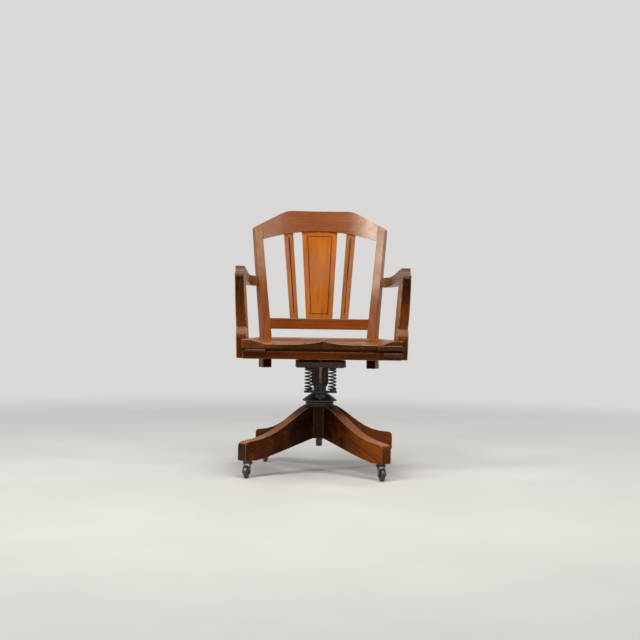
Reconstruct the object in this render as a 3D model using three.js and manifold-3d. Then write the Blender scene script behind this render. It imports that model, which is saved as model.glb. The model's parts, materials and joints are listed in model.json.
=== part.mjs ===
// A wooden armchair that swivels, tilts and rolls: four curved legs on casters, an iron height
// screw and spring tilter, a dished plank seat, and a bowed back with a splat and two slats.
// Millimetres, +Z up. The swivel axis is the Z axis, the floor is z = 0, and the sitter faces -Y.
import * as THREE from "three";
import { mergeVertices } from "three/addons/utils/BufferGeometryUtils.js";
import Module from "manifold-3d";

const wasm = await Module();
wasm.setup();

// Fits and fineness
const GAP = 0.3; // between pieces that touch
const OVERRUN = 30; // how far a cutting tool runs past what it cuts
const WELD = 0.0005; // points nearer than this are one point
const ROUND_STEPS = 24;
const FINE_RADIUS = 15; // what is slimmer than this has half as many sides
const CURVE_STEPS = 8;
const SHORT_CURVE_STEPS = 4;

// Casters
const WHEEL_DIAMETER = 43;
const WHEEL_WIDTH = 15;
const WHEEL_EDGE = 3.5; // how far the tread's edges are turned down
const WHEEL_SIDE_CLEARANCE = 1;
const WHEEL_HEADROOM = 5;
const AXLE_DIAMETER = 6;
const AXLE_HEAD_DIAMETER = 10;
const AXLE_HEAD_THICKNESS = 2.2;
const CASTER_TRAIL = 17; // the axle stands this far behind the stem
const CROWN_DIAMETER = 34;
const CROWN_THICKNESS = 7.6;
const CHEEK_THICKNESS = 3.5;
const CHEEK_EYE_DIAMETER = 15;
const STEM_DIAMETER = 9;
const SOCKET_DIAMETER = 14;
const SOCKET_DEPTH = 38;
const SOCKET_FLANGE_DIAMETER = 27;
const SOCKET_FLANGE_THICKNESS = 2.3;
const CASTER_HEADINGS = [-128, -72, -102, -78]; // degrees, the way each wheel trails, seen from above

// Legs and hub
const BASE_TURN = -5.7; // degrees, how far the legs stand turned from the seat's diagonals
const LEG_COUNT = 4;
const LEG_REACH = 350; // swivel axis to a leg's end
const LEG_THICKNESS = 43;
const LEG_END_HEIGHT = 65.5;
const LEG_END_RADIUS = 18;
const LEG_PAD_LENGTH = 50; // the flat under a leg's end
const LEG_ROOT_FLAT = 13; // the flat on top of a leg beside the hub
const CASTER_INSET = 27; // a leg's end to its caster's stem
const HUB_RISE = 61.5; // the hub's bottom above the legs' flats
const HUB_HEIGHT = 115;
const HUB_WIDTH = 97; // across the faces that carry legs
const HUB_LEG_FACE = 46;

// Height screw and its irons
const SCREW_DIAMETER = 25;
const SCREW_TAIL = 31; // below the hub when the seat is lowest
const BUSH_DIAMETER = 36;
const COLLAR_DIAMETER = 107;
const COLLAR_HEIGHT = 14;
const WASHER_DIAMETER = 90;
const WASHER_THICKNESS = 2.5;
const HANDWHEEL_DIAMETER = 124;
const HANDWHEEL_HEIGHT = 28.6;
const HANDWHEEL_RIM = 4;
const HANDWHEEL_TOP_DIAMETER = 53;

// Tilter: the yoke on the screw
const YOKE_SOCKET_DIAMETER = 47;
const YOKE_SOCKET_HEIGHT = 36;
const YOKE_SCREW_DEPTH = 30;
const YOKE_WEB_WIDTH = 60;
const YOKE_WEB_DEPTH = 40;
const PIVOT_RISE = 106.8; // the tilt pivot above the yoke's foot
const PIVOT_DIAMETER = 16;
const PIVOT_HEAD_DIAMETER = 24;
const PIVOT_HEAD_THICKNESS = 4;
const BARREL_DIAMETER = 34;
const CROSSHEAD_LENGTH = 180;
const CROSSHEAD_DEPTH = 34;
const CROSSHEAD_THICKNESS = 18;
const CROSSHEAD_TOP_RISE = 7; // above the pivot
const YOKE_ARM_WIDTH = 44;
const YOKE_RIB_THICKNESS = 9;

// Tilter: springs and tension knob
const SPRING_REACH = 75; // the springs stand this far before the pivot
const SPRING_SPACING = 84;
const SPRING_DIAMETER = 31;
const SPRING_WIRE = 5;
const SPRING_LENGTH = 83.4;
const SPRING_TURNS = 7.5;
const SPRING_END_GAP = 1.2; // between the close turns at a spring's ends
const SPRING_TURN_STEPS = 8;
const SPRING_WIRE_SIDES = 5;
const SPRING_BOSS_DIAMETER = 16;
const SPRING_BOSS_HEIGHT = 7;
const PLATE_LENGTH = 116;
const PLATE_DEPTH = 34;
const PLATE_THICKNESS = 7;
const BOLT_DIAMETER = 10;
const BOLT_TAIL = 6;
const BOLT_EYE_DIAMETER = 26;
const BOLT_EYE_WIDTH = 16;
const BOLT_SLOT_FORWARD = 3; // room before the bolt in the yoke's slot
const BOLT_SLOT_BACK = 10; // room behind it, which the tilt takes up
const KNOB_DIAMETER = 36;
const KNOB_HEIGHT = 17.4;

// Tilter: the irons under the seat
const IRON_SPACING = 160;
const IRON_FRONT_INSET = 59; // behind the front rail
const IRON_BACK_INSET = 14; // before the rear rail
const IRON_WIDTH = 24;
const IRON_FLANGE = 8;
const IRON_WEB = 10;
const IRON_WEB_FRONT = 95; // how far the web reaches before the pivot
const IRON_WEB_BACK = 72;
const IRON_SLOPE = 20;
const BUFFER_DIAMETER = 20;
const BUFFER_HEIGHT = 5.4;
const CROSS_BAR_DIAMETER = 14;
const CROSS_BAR_RISE = 13; // above the webs' lower edges
const SEAT_RISE = 57; // the plank's underside above the pivot

// Seat
const SEAT_FRONT_WIDTH = 555;
const SEAT_BACK_WIDTH = 466;
const SEAT_DEPTH = 440;
const SEAT_OVERHANG = 235; // the front edge before the swivel axis
const SEAT_THICKNESS = 32.5;
const SCOOP_DEPTH = 14.5;
const SCOOP_WIDTH_SHARE = 0.908;
const SCOOP_POMMEL_SHARE = 0.55; // under 1 draws the middle ridge to a cusp
const SCOOP_SIDE_SHARE = 0.25; // where the flat of the scoop ends, from its side
const POMMEL_LENGTH_SHARE = 0.45;
const SCOOP_FADE_SHARES = [0.58, 0.93]; // where the dish starts and ends its climb to the back
const SEAT_COLUMNS = 32;
const SEAT_ROWS = 12;
const RAIL_HEIGHT = 35.8;
const RAIL_THICKNESS = 20;
const FRONT_RAIL_SETBACK = 6;
const FRONT_RAIL_END = 5.5; // short of the plank at each end
const SIDE_RAIL_SETBACK = 8;

// Half-round rolls on the seat's front; each inset is from the plank's end to the roll's
const ROLL_DEPTH = 15;
const LEFT_ROLL_LENGTH = 79;
const LEFT_ROLL_HEIGHT = 15.5;
const LEFT_ROLL_INSET = 9;
const LEFT_ROLL_DROP = 8; // the plank's underside to the roll's middle
const UPPER_ROLL_LENGTH = 98;
const UPPER_ROLL_HEIGHT = 22;
const UPPER_ROLL_INSET = -5.5;
const UPPER_ROLL_RISE = 6; // the plank's underside to the roll's middle
const LOWER_ROLL_LENGTH = 76;
const LOWER_ROLL_HEIGHT = 20;
const LOWER_ROLL_INSET = -3.5;
const LOWER_ROLL_DROP = 17;

// Arms and their posts
const ARM_WIDTH = 31;
const ARM_FRONT_X = 287; // an arm's middle over the seat's front edge
const ARM_BEND_X = 279; // its middle where it starts to bend in to the back post
const ARM_BEND_LENGTH = 111; // from there to the post
const ARM_FRONT_RISE = 250.5; // the arm's top above the seat's top
const ARM_BACK_RISE = 232;
const ARM_HEIGHT = 37;
const ARM_NOSE = 4; // the nose before the seat's front edge
const ARM_NOSE_LENGTH = 32;
const ARM_POST_FOOT_X = 274.5; // the post's middle at its foot
const ARM_POST_FOOT_THICKNESS = 40;
const ARM_POST_TOP_THICKNESS = 32;
const ARM_POST_SETBACK = 10;
const ARM_POST_FOOT_DEPTH = 112;
const ARM_POST_FOOT_DROP = 67.5; // the foot's bottom below the seat's top
const ARM_POST_FOOT_RISE = 12.5; // the foot's ledge above it
const ARM_POST_LEDGE = 24;
const ARM_POST_LEDGE_HEIGHT = 28;
const ARM_POST_TOP_DEPTH = 94;
const ARM_POST_TOP_SETBACK = 7; // behind the nose

// Back
const BACK_POST_FOOT_WIDTH = 35.5; // a post's section at the seat's top
const BACK_POST_FOOT_DEPTH = 42;
const BACK_POST_TOP_WIDTH = 29; // and at the crest's top
const BACK_POST_TOP_DEPTH = 33;
const BACK_POST_TURN = 22; // degrees, the way the posts face in
const BACK_POST_FOOT_X = 203; // a post's middle at the seat's top
const BACK_POST_INSET = 14; // a post's middle at the seat's top before the plank's back edge
const BACK_POST_DROP = 113.5; // the post's end below the seat's top
const BACK_LEAN = 117; // how far the back leans back, and its posts splay, over the crest's rise
const BACK_SPLAY = 47.5;
const BACK_FALL = 72; // the posts' outer top corners below the crest's flat top
const CREST_THICKNESS = 24;
const CREST_BOW = 44;
const CREST_RISE = 493.5; // its flat top above the seat's top
const CREST_FLAT_WIDTH = 258;
const CREST_SOFT_CORNER = 22;
const CREST_HEIGHT = 79; // in the middle
const CREST_ARCH_DROP = 37;
const CREST_ARCH_SPAN = 442;
const LOWER_RAIL_RISE = 31.5;
const LOWER_RAIL_HEIGHT = 41;
const LOWER_RAIL_THICKNESS = 20;
const LOWER_RAIL_BOW = 20;
const RAIL_STEPS = 14;

// Splat and slats
const SPLAT_THICKNESS = 12;
const SPLAT_FOOT_WIDTH = 101;
const SPLAT_HEAD_WIDTH = 140;
const SPLAT_LINE_WIDTH = 3;
const SPLAT_LINE_DEPTH = 1.5;
const SPLAT_PANEL_FOOT_WIDTH = 61;
const SPLAT_PANEL_HEAD_WIDTH = 91;
const PANEL_FOOT_MARGIN = 20; // from the lower rail to the panel
const PANEL_HEAD_MARGIN = 25.5;
const SLAT_THICKNESS = 11;
const SLAT_FOOT_WIDTH = 31;
const SLAT_HEAD_WIDTH = 36;
const SLAT_FOOT_X = 94.5;
const SLAT_HEAD_X = 125;
const SLAT_GROOVE_FOOT_WIDTH = 3.5;
const SLAT_GROOVE_HEAD_WIDTH = 5.5;
const SLAT_GROOVE_HEAD_MARGIN = 33; // from the crest's arch to the middle of the groove's round end
const SLAT_GROOVE_DEPTH = 3;

// Shapes of bends: two handles each, as shares of the way along and up
const LEG_UNDERSIDE_SHARES = [[0.264, 0.26], [0.622, 0.732]];
const LEG_TOP_SHARES = [[0.519, 0.098], [0.704, 0.714]];
const HANDWHEEL_DOME_SHARES = [[0.3, 0.33], [0.65, 0.8]];
const CHEEK_FRONT_SHARES = [[0.35, 0.5], [0.95, 0.6]];
const CHEEK_BACK_SHARES = [[0.1, 0.5], [0.5, 0.75]];
const IRON_BACK_SHARES = [[0.4, 0], [0.75, 0.4]];
const ARM_NOSE_SHARES = [[0.05, 0.62], [0.42, 0.98]];
const ARM_UNDERSIDE_SHARES = [[0.18, -0.1], [0.38, 0.86]];
const ARM_TOP_SHARES = [[0.62, -0.05], [0.8, 0.9]]; // from the back
const ARM_POST_LEDGE_SHARES = [[0.55, 0.04], [0.92, 0.4]];
const ARM_POST_FRONT_SHARES = [[-0.2, 0.36], [0.1, 0.8]];
const ARM_POST_BACK_SHARES = [[-0.3, 0.3], [0.45, 0.75]];
const ARM_BEND_SHARES = [[0.02, 0.5], [0.45, 0.85]];

// Levels, from the floor up
const axleZ = WHEEL_DIAMETER / 2;
const crownBottom = WHEEL_DIAMETER + WHEEL_HEADROOM;
const crownTop = crownBottom + CROWN_THICKNESS;
const socketBottom = crownTop + GAP;
const legPad = socketBottom + SOCKET_FLANGE_THICKNESS + GAP;
const hubBottom = legPad + HUB_RISE;
const hubTop = hubBottom + HUB_HEIGHT;
const collarBottom = hubTop + GAP;
const collarTop = collarBottom + COLLAR_HEIGHT;
const washerTop = collarTop + GAP + WASHER_THICKNESS;
const handwheelBottom = washerTop + GAP;
const handwheelTop = handwheelBottom + HANDWHEEL_HEIGHT;
const yokeBottom = handwheelTop + GAP;
const pivotZ = yokeBottom + PIVOT_RISE;
const crossheadTop = pivotZ + CROSSHEAD_TOP_RISE;
const crossheadBottom = crossheadTop - CROSSHEAD_THICKNESS;
const plateTop = crossheadBottom - GAP - SPRING_LENGTH - GAP;
const plateBottom = plateTop - PLATE_THICKNESS;
const knobBottom = plateBottom - GAP - KNOB_HEIGHT;
const ironWebBottom = crossheadTop + GAP + BUFFER_HEIGHT + GAP;
const crossBarZ = ironWebBottom + CROSS_BAR_RISE;
const plankBottom = pivotZ + SEAT_RISE;
const seatTop = plankBottom + SEAT_THICKNESS;
const ironTop = plankBottom - GAP;
const railTop = plankBottom - GAP;
const railBottom = railTop - RAIL_HEIGHT;
const crestTop = seatTop + CREST_RISE;
const crestArchZ = crestTop - CREST_HEIGHT;
const seatFront = -SEAT_OVERHANG;
const seatBack = seatFront + SEAT_DEPTH;
const frontRailFront = seatFront + FRONT_RAIL_SETBACK;

// The back leans, and above the seat it splays: a back post's middle at a height
const backShare = (z) => (z - seatTop) / CREST_RISE;
const backPostX = (z) => BACK_POST_FOOT_X + Math.max(backShare(z), 0) * BACK_SPLAY;
const backPostY = (z) => seatBack - BACK_POST_INSET + backShare(z) * BACK_LEAN;
const rearRailY = backPostY(railBottom);

// Helpers for outlines
const point = (x, y) => new THREE.Vector2(x, y);
const mix = (from, to, share) => from + share * (to - from);
const smooth = (share) => THREE.MathUtils.smoothstep(share, 0, 1);

// Carries a path on in one cubic bend, its handles given as shares of the way
function bendTo(path, x, y, [[x1, y1], [x2, y2]]) {
  const { x: fromX, y: fromY } = path.currentPoint;
  const handle1 = [mix(fromX, x, x1), mix(fromY, y, y1)];
  const handle2 = [mix(fromX, x, x2), mix(fromY, y, y2)];
  path.bezierCurveTo(...handle1, ...handle2, x, y);
}

// The corners of a closed path, anticlockwise and each once
function cornersOf(path, steps = CURVE_STEPS) {
  const all = path.getPoints(steps);
  return anticlockwise(all.filter((p, i) => p.distanceTo(all[(i + 1) % all.length]) > WELD));
}

function anticlockwise(corners) {
  return THREE.ShapeUtils.isClockWise(corners) ? corners.reverse() : corners;
}

// The outline of a band of even width along an open path
function bandAlong(path, width) {
  const line = path.getPoints(CURVE_STEPS);
  const aside = line.map((_, i) => {
    const before = line[Math.max(i - 1, 0)];
    const after = line[Math.min(i + 1, line.length - 1)];
    const along = after.clone().sub(before).setLength(width / 2);
    return point(along.y, -along.x);
  });
  const one = line.map((p, i) => p.clone().add(aside[i]));
  const other = line.map((p, i) => p.clone().sub(aside[i]));
  return anticlockwise([...one, ...other.reverse()]);
}

// An anticlockwise outline with every side moved out
function grown(corners, by) {
  return corners.map((corner, i) => {
    const arriving = corner.clone().sub(corners.at(i - 1)).normalize();
    const leaving = corners[(i + 1) % corners.length].clone().sub(corner).normalize();
    const out1 = point(arriving.y, -arriving.x);
    const out2 = point(leaving.y, -leaving.x);
    const stretch = by / (1 + out1.dot(out2));
    return corner.clone().add(out1.add(out2).multiplyScalar(stretch));
  });
}

// Helpers for geometries: each is a closed surface
function prism(corners, depth) {
  const geometry = new THREE.ExtrudeGeometry(new THREE.Shape(corners), { depth, bevelEnabled: false });
  return geometry.translate(0, 0, -depth / 2);
}

// A prism whose outline is drawn in (x, z), with its depth along y
const uprightPrism = (corners, depth) => prism(corners, depth).rotateX(Math.PI / 2);

// A prism whose outline is drawn in (y, z), with its depth along x
const sidePrism = (corners, depth) => uprightPrism(corners, depth).rotateZ(Math.PI / 2);

function box(width, depth, height, x, y, z) {
  return new THREE.BoxGeometry(width, depth, height).translate(x, y, z);
}

const stepsFor = (radius) => (radius < FINE_RADIUS ? ROUND_STEPS / 2 : ROUND_STEPS);

// The radius of a bore whose flats, not only its corners, clear what turns in it
function boreFor(diameter) {
  const radius = diameter / 2 + GAP;
  return radius / Math.cos(Math.PI / stepsFor(radius));
}

// A body turned round the z axis from (radius, z) points
function turned(points) {
  const profile = points.map(([radius, z]) => point(radius, z));
  const steps = stepsFor(Math.max(...profile.map(({ x }) => x)));
  return new THREE.LatheGeometry(profile, steps).rotateX(Math.PI / 2);
}

const rod = (radius, low, high) => turned([[0, low], [radius, low], [radius, high], [0, high]]);
const crossRod = (radius, length) => rod(radius, -length / 2, length / 2).rotateY(Math.PI / 2);

// A skin over rings of points, each ring listed the same way round, with a fan over both ends
function loft(rings) {
  const sides = rings[0].length;
  const indices = [];
  for (let i = 0; i + 1 < rings.length; i += 1) {
    for (let j = 0; j < sides; j += 1) {
      const a = i * sides + j;
      const b = i * sides + ((j + 1) % sides);
      indices.push(a, b, b + sides, a, b + sides, a + sides);
    }
  }
  const last = (rings.length - 1) * sides;
  for (let j = 1; j + 1 < sides; j += 1) {
    indices.push(0, j + 1, j, last, last + j, last + j + 1);
  }
  const geometry = new THREE.BufferGeometry().setFromPoints(rings.flat());
  geometry.setIndex(indices);
  return geometry;
}

// Helpers for solids, which can be joined and cut
function solidOf(geometry) {
  const bare = new THREE.BufferGeometry();
  bare.setAttribute("position", geometry.getAttribute("position"));
  bare.setIndex(geometry.index);
  const welded = mergeVertices(bare, WELD);
  const vertProperties = new Float32Array(welded.attributes.position.array);
  const triVerts = new Uint32Array(welded.index.array);
  const solid = new wasm.Manifold(new wasm.Mesh({ numProp: 3, vertProperties, triVerts }));
  if (solid.volume() > 0) return solid;
  return new wasm.Manifold(new wasm.Mesh({ numProp: 3, vertProperties, triVerts: triVerts.reverse() }));
}

function geometryOf(solid) {
  const { vertProperties, triVerts } = solid.getMesh();
  const geometry = new THREE.BufferGeometry();
  geometry.setAttribute("position", new THREE.BufferAttribute(vertProperties, 3));
  geometry.setIndex(new THREE.BufferAttribute(triVerts, 1));
  return geometry;
}

const joined = (...geometries) => geometries.map(solidOf).reduce((all, one) => all.add(one));
const cut = (solid, ...tools) => tools.reduce((left, tool) => left.subtract(tool), solid);

// A solid and its mirror image across the chair's middle
function pairOf(geometry) {
  return joined(geometry, geometry.clone().scale(-1, 1, 1));
}

// Materials
const finish = (color, roughness, metalness) =>
  new THREE.MeshStandardMaterial({ color, roughness, metalness, flatShading: true });
const OAK = finish(0xa85c22, 0.42, 0);
const SHADED_OAK = finish(0x7d3f19, 0.45, 0);
const PANEL_OAK = finish(0xc4691f, 0.4, 0);
const BLACK_IRON = finish(0x1d1b1a, 0.55, 0.8);
const SPRING_STEEL = finish(0x2c2a29, 0.45, 0.9);
const WHEEL_STEEL = finish(0x4a4643, 0.4, 0.9);
const RUBBER = finish(0x141414, 0.9, 0);

function add(group, name, shape, material) {
  const geometry = shape.isBufferGeometry ? shape : geometryOf(shape);
  const mesh = new THREE.Mesh(geometry, material);
  mesh.name = name;
  group.add(mesh);
  return mesh;
}

// The same shape on both sides of the chair, drawn for the right
function addPair(group, name, shape, material) {
  add(group, `${name}_right`, shape, material);
  add(group, `${name}_left`, shape, material).scale.x = -1;
}

// Legs and hub
function hub() {
  const half = HUB_WIDTH / 2;
  const face = HUB_LEG_FACE / 2;
  const quarter = [point(half, -face), point(half, face)];
  const corners = [0, 1, 2, 3].flatMap((turn) =>
    quarter.map((corner) => corner.clone().rotateAround(point(0, 0), (turn * Math.PI) / 2)),
  );
  const block = prism(corners, HUB_HEIGHT).translate(0, 0, hubBottom + HUB_HEIGHT / 2);
  return cut(solidOf(block), solidOf(rod(boreFor(BUSH_DIAMETER), hubBottom - OVERRUN, hubTop + OVERRUN)));
}

// One leg, reaching out along +X
function leg() {
  const root = HUB_WIDTH / 2 + GAP;
  const endTop = legPad + LEG_END_HEIGHT;
  const path = new THREE.Path();
  path.moveTo(root, hubBottom);
  bendTo(path, LEG_REACH - LEG_PAD_LENGTH, legPad, LEG_UNDERSIDE_SHARES);
  path.lineTo(LEG_REACH, legPad);
  path.absarc(LEG_REACH - LEG_END_RADIUS, endTop - LEG_END_RADIUS, LEG_END_RADIUS, 0, Math.PI / 2);
  bendTo(path, root + LEG_ROOT_FLAT, hubTop, LEG_TOP_SHARES);
  path.lineTo(root, hubTop);
  const board = uprightPrism(cornersOf(path), LEG_THICKNESS);
  const socketTop = legPad + SOCKET_DEPTH + GAP;
  const hole = rod(boreFor(SOCKET_DIAMETER), legPad - OVERRUN, socketTop);
  return cut(solidOf(board), solidOf(hole.translate(LEG_REACH - CASTER_INSET, 0, 0)));
}

// Caster pieces, with the stem on the z axis and the wheel trailing along +X
function casterSocket() {
  const bore = boreFor(STEM_DIAMETER);
  const flangeTop = socketBottom + SOCKET_FLANGE_THICKNESS;
  return turned([
    [bore, socketBottom],
    [SOCKET_FLANGE_DIAMETER / 2, socketBottom],
    [SOCKET_FLANGE_DIAMETER / 2, flangeTop],
    [SOCKET_DIAMETER / 2, flangeTop],
    [SOCKET_DIAMETER / 2, legPad + SOCKET_DEPTH],
    [bore, legPad + SOCKET_DEPTH],
    [bore, socketBottom],
  ]);
}

function casterFork() {
  const crown = CROWN_DIAMETER / 2;
  const eye = CHEEK_EYE_DIAMETER / 2;
  const path = new THREE.Path();
  path.moveTo(-crown / 2, crownTop);
  bendTo(path, CASTER_TRAIL - eye, axleZ, CHEEK_FRONT_SHARES);
  path.absarc(CASTER_TRAIL, axleZ, eye, Math.PI, 2 * Math.PI);
  bendTo(path, crown / 2, crownTop, CHEEK_BACK_SHARES);
  const corners = cornersOf(path, SHORT_CURVE_STEPS);
  const cheekY = WHEEL_WIDTH / 2 + WHEEL_SIDE_CLEARANCE + CHEEK_THICKNESS / 2;
  const cheeks = [-cheekY, cheekY].map((y) => uprightPrism(corners, CHEEK_THICKNESS).translate(0, y, 0));
  const stemTop = legPad + SOCKET_DEPTH;
  const crownDisc = turned([
    [0, crownBottom],
    [crown, crownBottom],
    [crown, crownTop - CROWN_THICKNESS / 3],
    [crown - CROWN_THICKNESS / 3, crownTop],
    [STEM_DIAMETER / 2, crownTop],
    [STEM_DIAMETER / 2, stemTop],
    [0, stemTop],
  ]);
  const hole = crossRod(boreFor(AXLE_DIAMETER), CROWN_DIAMETER + OVERRUN).rotateZ(Math.PI / 2);
  return cut(joined(crownDisc, ...cheeks), solidOf(hole.translate(CASTER_TRAIL, 0, axleZ)));
}

// A caster's wheel and axle lie along y, with their middles on the origin
function casterWheel() {
  const bore = boreFor(AXLE_DIAMETER);
  const rim = WHEEL_DIAMETER / 2;
  const half = WHEEL_WIDTH / 2;
  const tread = half - WHEEL_EDGE;
  return turned([
    [bore, -half],
    [rim - WHEEL_EDGE, -half],
    [rim, -tread],
    [rim, tread],
    [rim - WHEEL_EDGE, half],
    [bore, half],
    [bore, -half],
  ]).rotateX(Math.PI / 2);
}

function casterAxle() {
  const shaft = AXLE_DIAMETER / 2;
  const head = AXLE_HEAD_DIAMETER / 2;
  const inner = WHEEL_WIDTH / 2 + WHEEL_SIDE_CLEARANCE + CHEEK_THICKNESS + GAP;
  const outer = inner + AXLE_HEAD_THICKNESS;
  return turned([
    [0, -outer], [head, -outer], [head, -inner], [shaft, -inner],
    [shaft, inner], [head, inner], [head, outer], [0, outer],
  ]).rotateX(Math.PI / 2);
}

function caster(name, headingDegrees) {
  const group = new THREE.Group();
  group.rotation.z = THREE.MathUtils.degToRad(headingDegrees);
  add(group, `caster_socket_${name}`, casterSocket(), WHEEL_STEEL);
  add(group, `caster_fork_${name}`, casterFork(), BLACK_IRON);
  add(group, `caster_wheel_${name}`, casterWheel(), WHEEL_STEEL).position.set(CASTER_TRAIL, 0, axleZ);
  add(group, `caster_axle_${name}`, casterAxle(), WHEEL_STEEL).position.set(CASTER_TRAIL, 0, axleZ);
  return group;
}

function base() {
  const group = new THREE.Group();
  const legTurn = THREE.MathUtils.degToRad(BASE_TURN) + Math.PI / LEG_COUNT;
  const hubBlock = add(group, "hub", hub(), SHADED_OAK);
  hubBlock.rotation.z = legTurn;
  const legShape = geometryOf(leg());
  const places = ["rear_right", "rear_left", "front_left", "front_right"];
  places.forEach((place, i) => {
    const arm = new THREE.Group();
    arm.rotation.z = legTurn + (i * 2 * Math.PI) / LEG_COUNT;
    add(arm, `leg_${place}`, legShape, OAK);
    const stem = caster(place, CASTER_HEADINGS[i] - THREE.MathUtils.radToDeg(arm.rotation.z));
    stem.position.x = LEG_REACH - CASTER_INSET;
    arm.add(stem);
    group.add(arm);
  });
  add(group, "guide_bush", guideBush(), BLACK_IRON);
  add(group, "hub_collar", hubCollar(), BLACK_IRON);
  return group;
}

// Height screw and its irons, all on the swivel axis
function ring(inner, outer, low, high) {
  return turned([[inner, low], [outer, low], [outer, high], [inner, high], [inner, low]]);
}

const guideBush = () => ring(boreFor(SCREW_DIAMETER), BUSH_DIAMETER / 2, hubBottom, collarTop);

function hubCollar() {
  const bore = boreFor(BUSH_DIAMETER);
  const rim = COLLAR_DIAMETER / 2;
  const step = COLLAR_HEIGHT / 4;
  return turned([
    [bore, collarBottom],
    [rim, collarBottom],
    [rim, collarBottom + step],
    [rim - step, collarBottom + 2 * step],
    [rim - step / 2, collarBottom + 3 * step],
    [rim - step, collarTop],
    [bore, collarTop],
    [bore, collarBottom],
  ]);
}

const thrustWasher = () =>
  ring(boreFor(SCREW_DIAMETER), WASHER_DIAMETER / 2, collarTop + GAP, washerTop);

function handwheel() {
  const bore = boreFor(SCREW_DIAMETER);
  const path = new THREE.Path();
  path.moveTo(bore, handwheelBottom);
  path.lineTo(HANDWHEEL_DIAMETER / 2, handwheelBottom);
  path.lineTo(HANDWHEEL_DIAMETER / 2, handwheelBottom + HANDWHEEL_RIM);
  bendTo(path, HANDWHEEL_TOP_DIAMETER / 2, handwheelTop, HANDWHEEL_DOME_SHARES);
  path.lineTo(bore, handwheelTop);
  const corners = cornersOf(path, SHORT_CURVE_STEPS);
  return turned([...corners, corners[0]].map(({ x, y }) => [x, y]));
}

const screwTop = yokeBottom + YOKE_SCREW_DEPTH - GAP;
const heightScrew = () => rod(SCREW_DIAMETER / 2, hubBottom - SCREW_TAIL, screwTop);

// The yoke stands on the screw, carries the tilt pivot and holds the springs down
function tiltYoke() {
  const socketTop = yokeBottom + YOKE_SOCKET_HEIGHT;
  const neck = YOKE_SOCKET_DIAMETER / 2;
  const halfWeb = YOKE_WEB_WIDTH / 2;
  const webCorners = [
    point(-neck, socketTop - YOKE_SOCKET_HEIGHT / 3), point(neck, socketTop - YOKE_SOCKET_HEIGHT / 3),
    point(halfWeb, socketTop), point(halfWeb, pivotZ), point(-halfWeb, pivotZ), point(-halfWeb, socketTop),
  ];
  const web = uprightPrism(webCorners, YOKE_WEB_DEPTH);
  const socket = rod(neck, yokeBottom, socketTop);
  const barrelLength = IRON_SPACING - IRON_WEB - 2 * GAP;
  const barrel = crossRod(BARREL_DIAMETER / 2, barrelLength).translate(0, 0, pivotZ);

  const halfDepth = CROSSHEAD_DEPTH / 2;
  const halfBeam = CROSSHEAD_LENGTH / 2 - halfDepth;
  const ends = new THREE.Path();
  ends.absarc(halfBeam, 0, halfDepth, -Math.PI / 2, Math.PI / 2);
  ends.absarc(-halfBeam, 0, halfDepth, Math.PI / 2, (3 * Math.PI) / 2);
  const beamZ = crossheadTop - CROSSHEAD_THICKNESS / 2;
  const crosshead = prism(cornersOf(ends), CROSSHEAD_THICKNESS).translate(0, -SPRING_REACH, beamZ);
  const arm = box(YOKE_ARM_WIDTH, SPRING_REACH, CROSSHEAD_THICKNESS, 0, -SPRING_REACH / 2, beamZ);

  const ribFront = -(SPRING_REACH - BOLT_SLOT_BACK - BOLT_DIAMETER);
  const ribCorners = [
    point(-YOKE_WEB_DEPTH / 4, socketTop), point(-YOKE_WEB_DEPTH / 4, beamZ),
    point(ribFront, beamZ), point(ribFront, crossheadBottom - YOKE_RIB_THICKNESS),
  ];
  const rib = sidePrism(ribCorners, YOKE_RIB_THICKNESS);

  const bossLow = crossheadBottom - SPRING_BOSS_HEIGHT;
  const bosses = [-SPRING_SPACING / 2, SPRING_SPACING / 2].map((x) =>
    rod(SPRING_BOSS_DIAMETER / 2, bossLow, beamZ).translate(x, -SPRING_REACH, 0),
  );

  const pivotBore = crossRod(boreFor(PIVOT_DIAMETER), IRON_SPACING + OVERRUN).translate(0, 0, pivotZ);
  const screwBore = rod(boreFor(SCREW_DIAMETER), yokeBottom - OVERRUN, yokeBottom + YOKE_SCREW_DEPTH);
  const slotFront = -SPRING_REACH - BOLT_DIAMETER / 2 - BOLT_SLOT_FORWARD;
  const slotBack = -SPRING_REACH + BOLT_DIAMETER / 2 + BOLT_SLOT_BACK;
  const slotWidth = BOLT_DIAMETER + 2 * BOLT_SLOT_FORWARD;
  const slotHeight = CROSSHEAD_THICKNESS + OVERRUN;
  const slot = box(slotWidth, slotBack - slotFront, slotHeight, 0, (slotFront + slotBack) / 2, beamZ);
  const body = joined(socket, web, barrel, crosshead, arm, rib, ...bosses);
  return cut(body, solidOf(pivotBore), solidOf(screwBore), solidOf(slot));
}

// A compression spring as one wound wire, standing on z = 0, its end turns wound close
function springPoint(turn) {
  const climb = (share) => {
    const close = SPRING_WIRE + SPRING_END_GAP;
    const free = SPRING_LENGTH - SPRING_WIRE - 2 * close;
    const open = SPRING_TURNS - 2;
    if (share < 1) return close * share;
    if (share > SPRING_TURNS - 1) return close + free + close * (share - SPRING_TURNS + 1);
    return close + (free * (share - 1)) / open;
  };
  const coil = (SPRING_DIAMETER - SPRING_WIRE) / 2;
  const angle = turn * 2 * Math.PI;
  const x = coil * Math.cos(angle);
  const y = coil * Math.sin(angle);
  return new THREE.Vector3(x, y, SPRING_WIRE / 2 + climb(turn));
}

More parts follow.
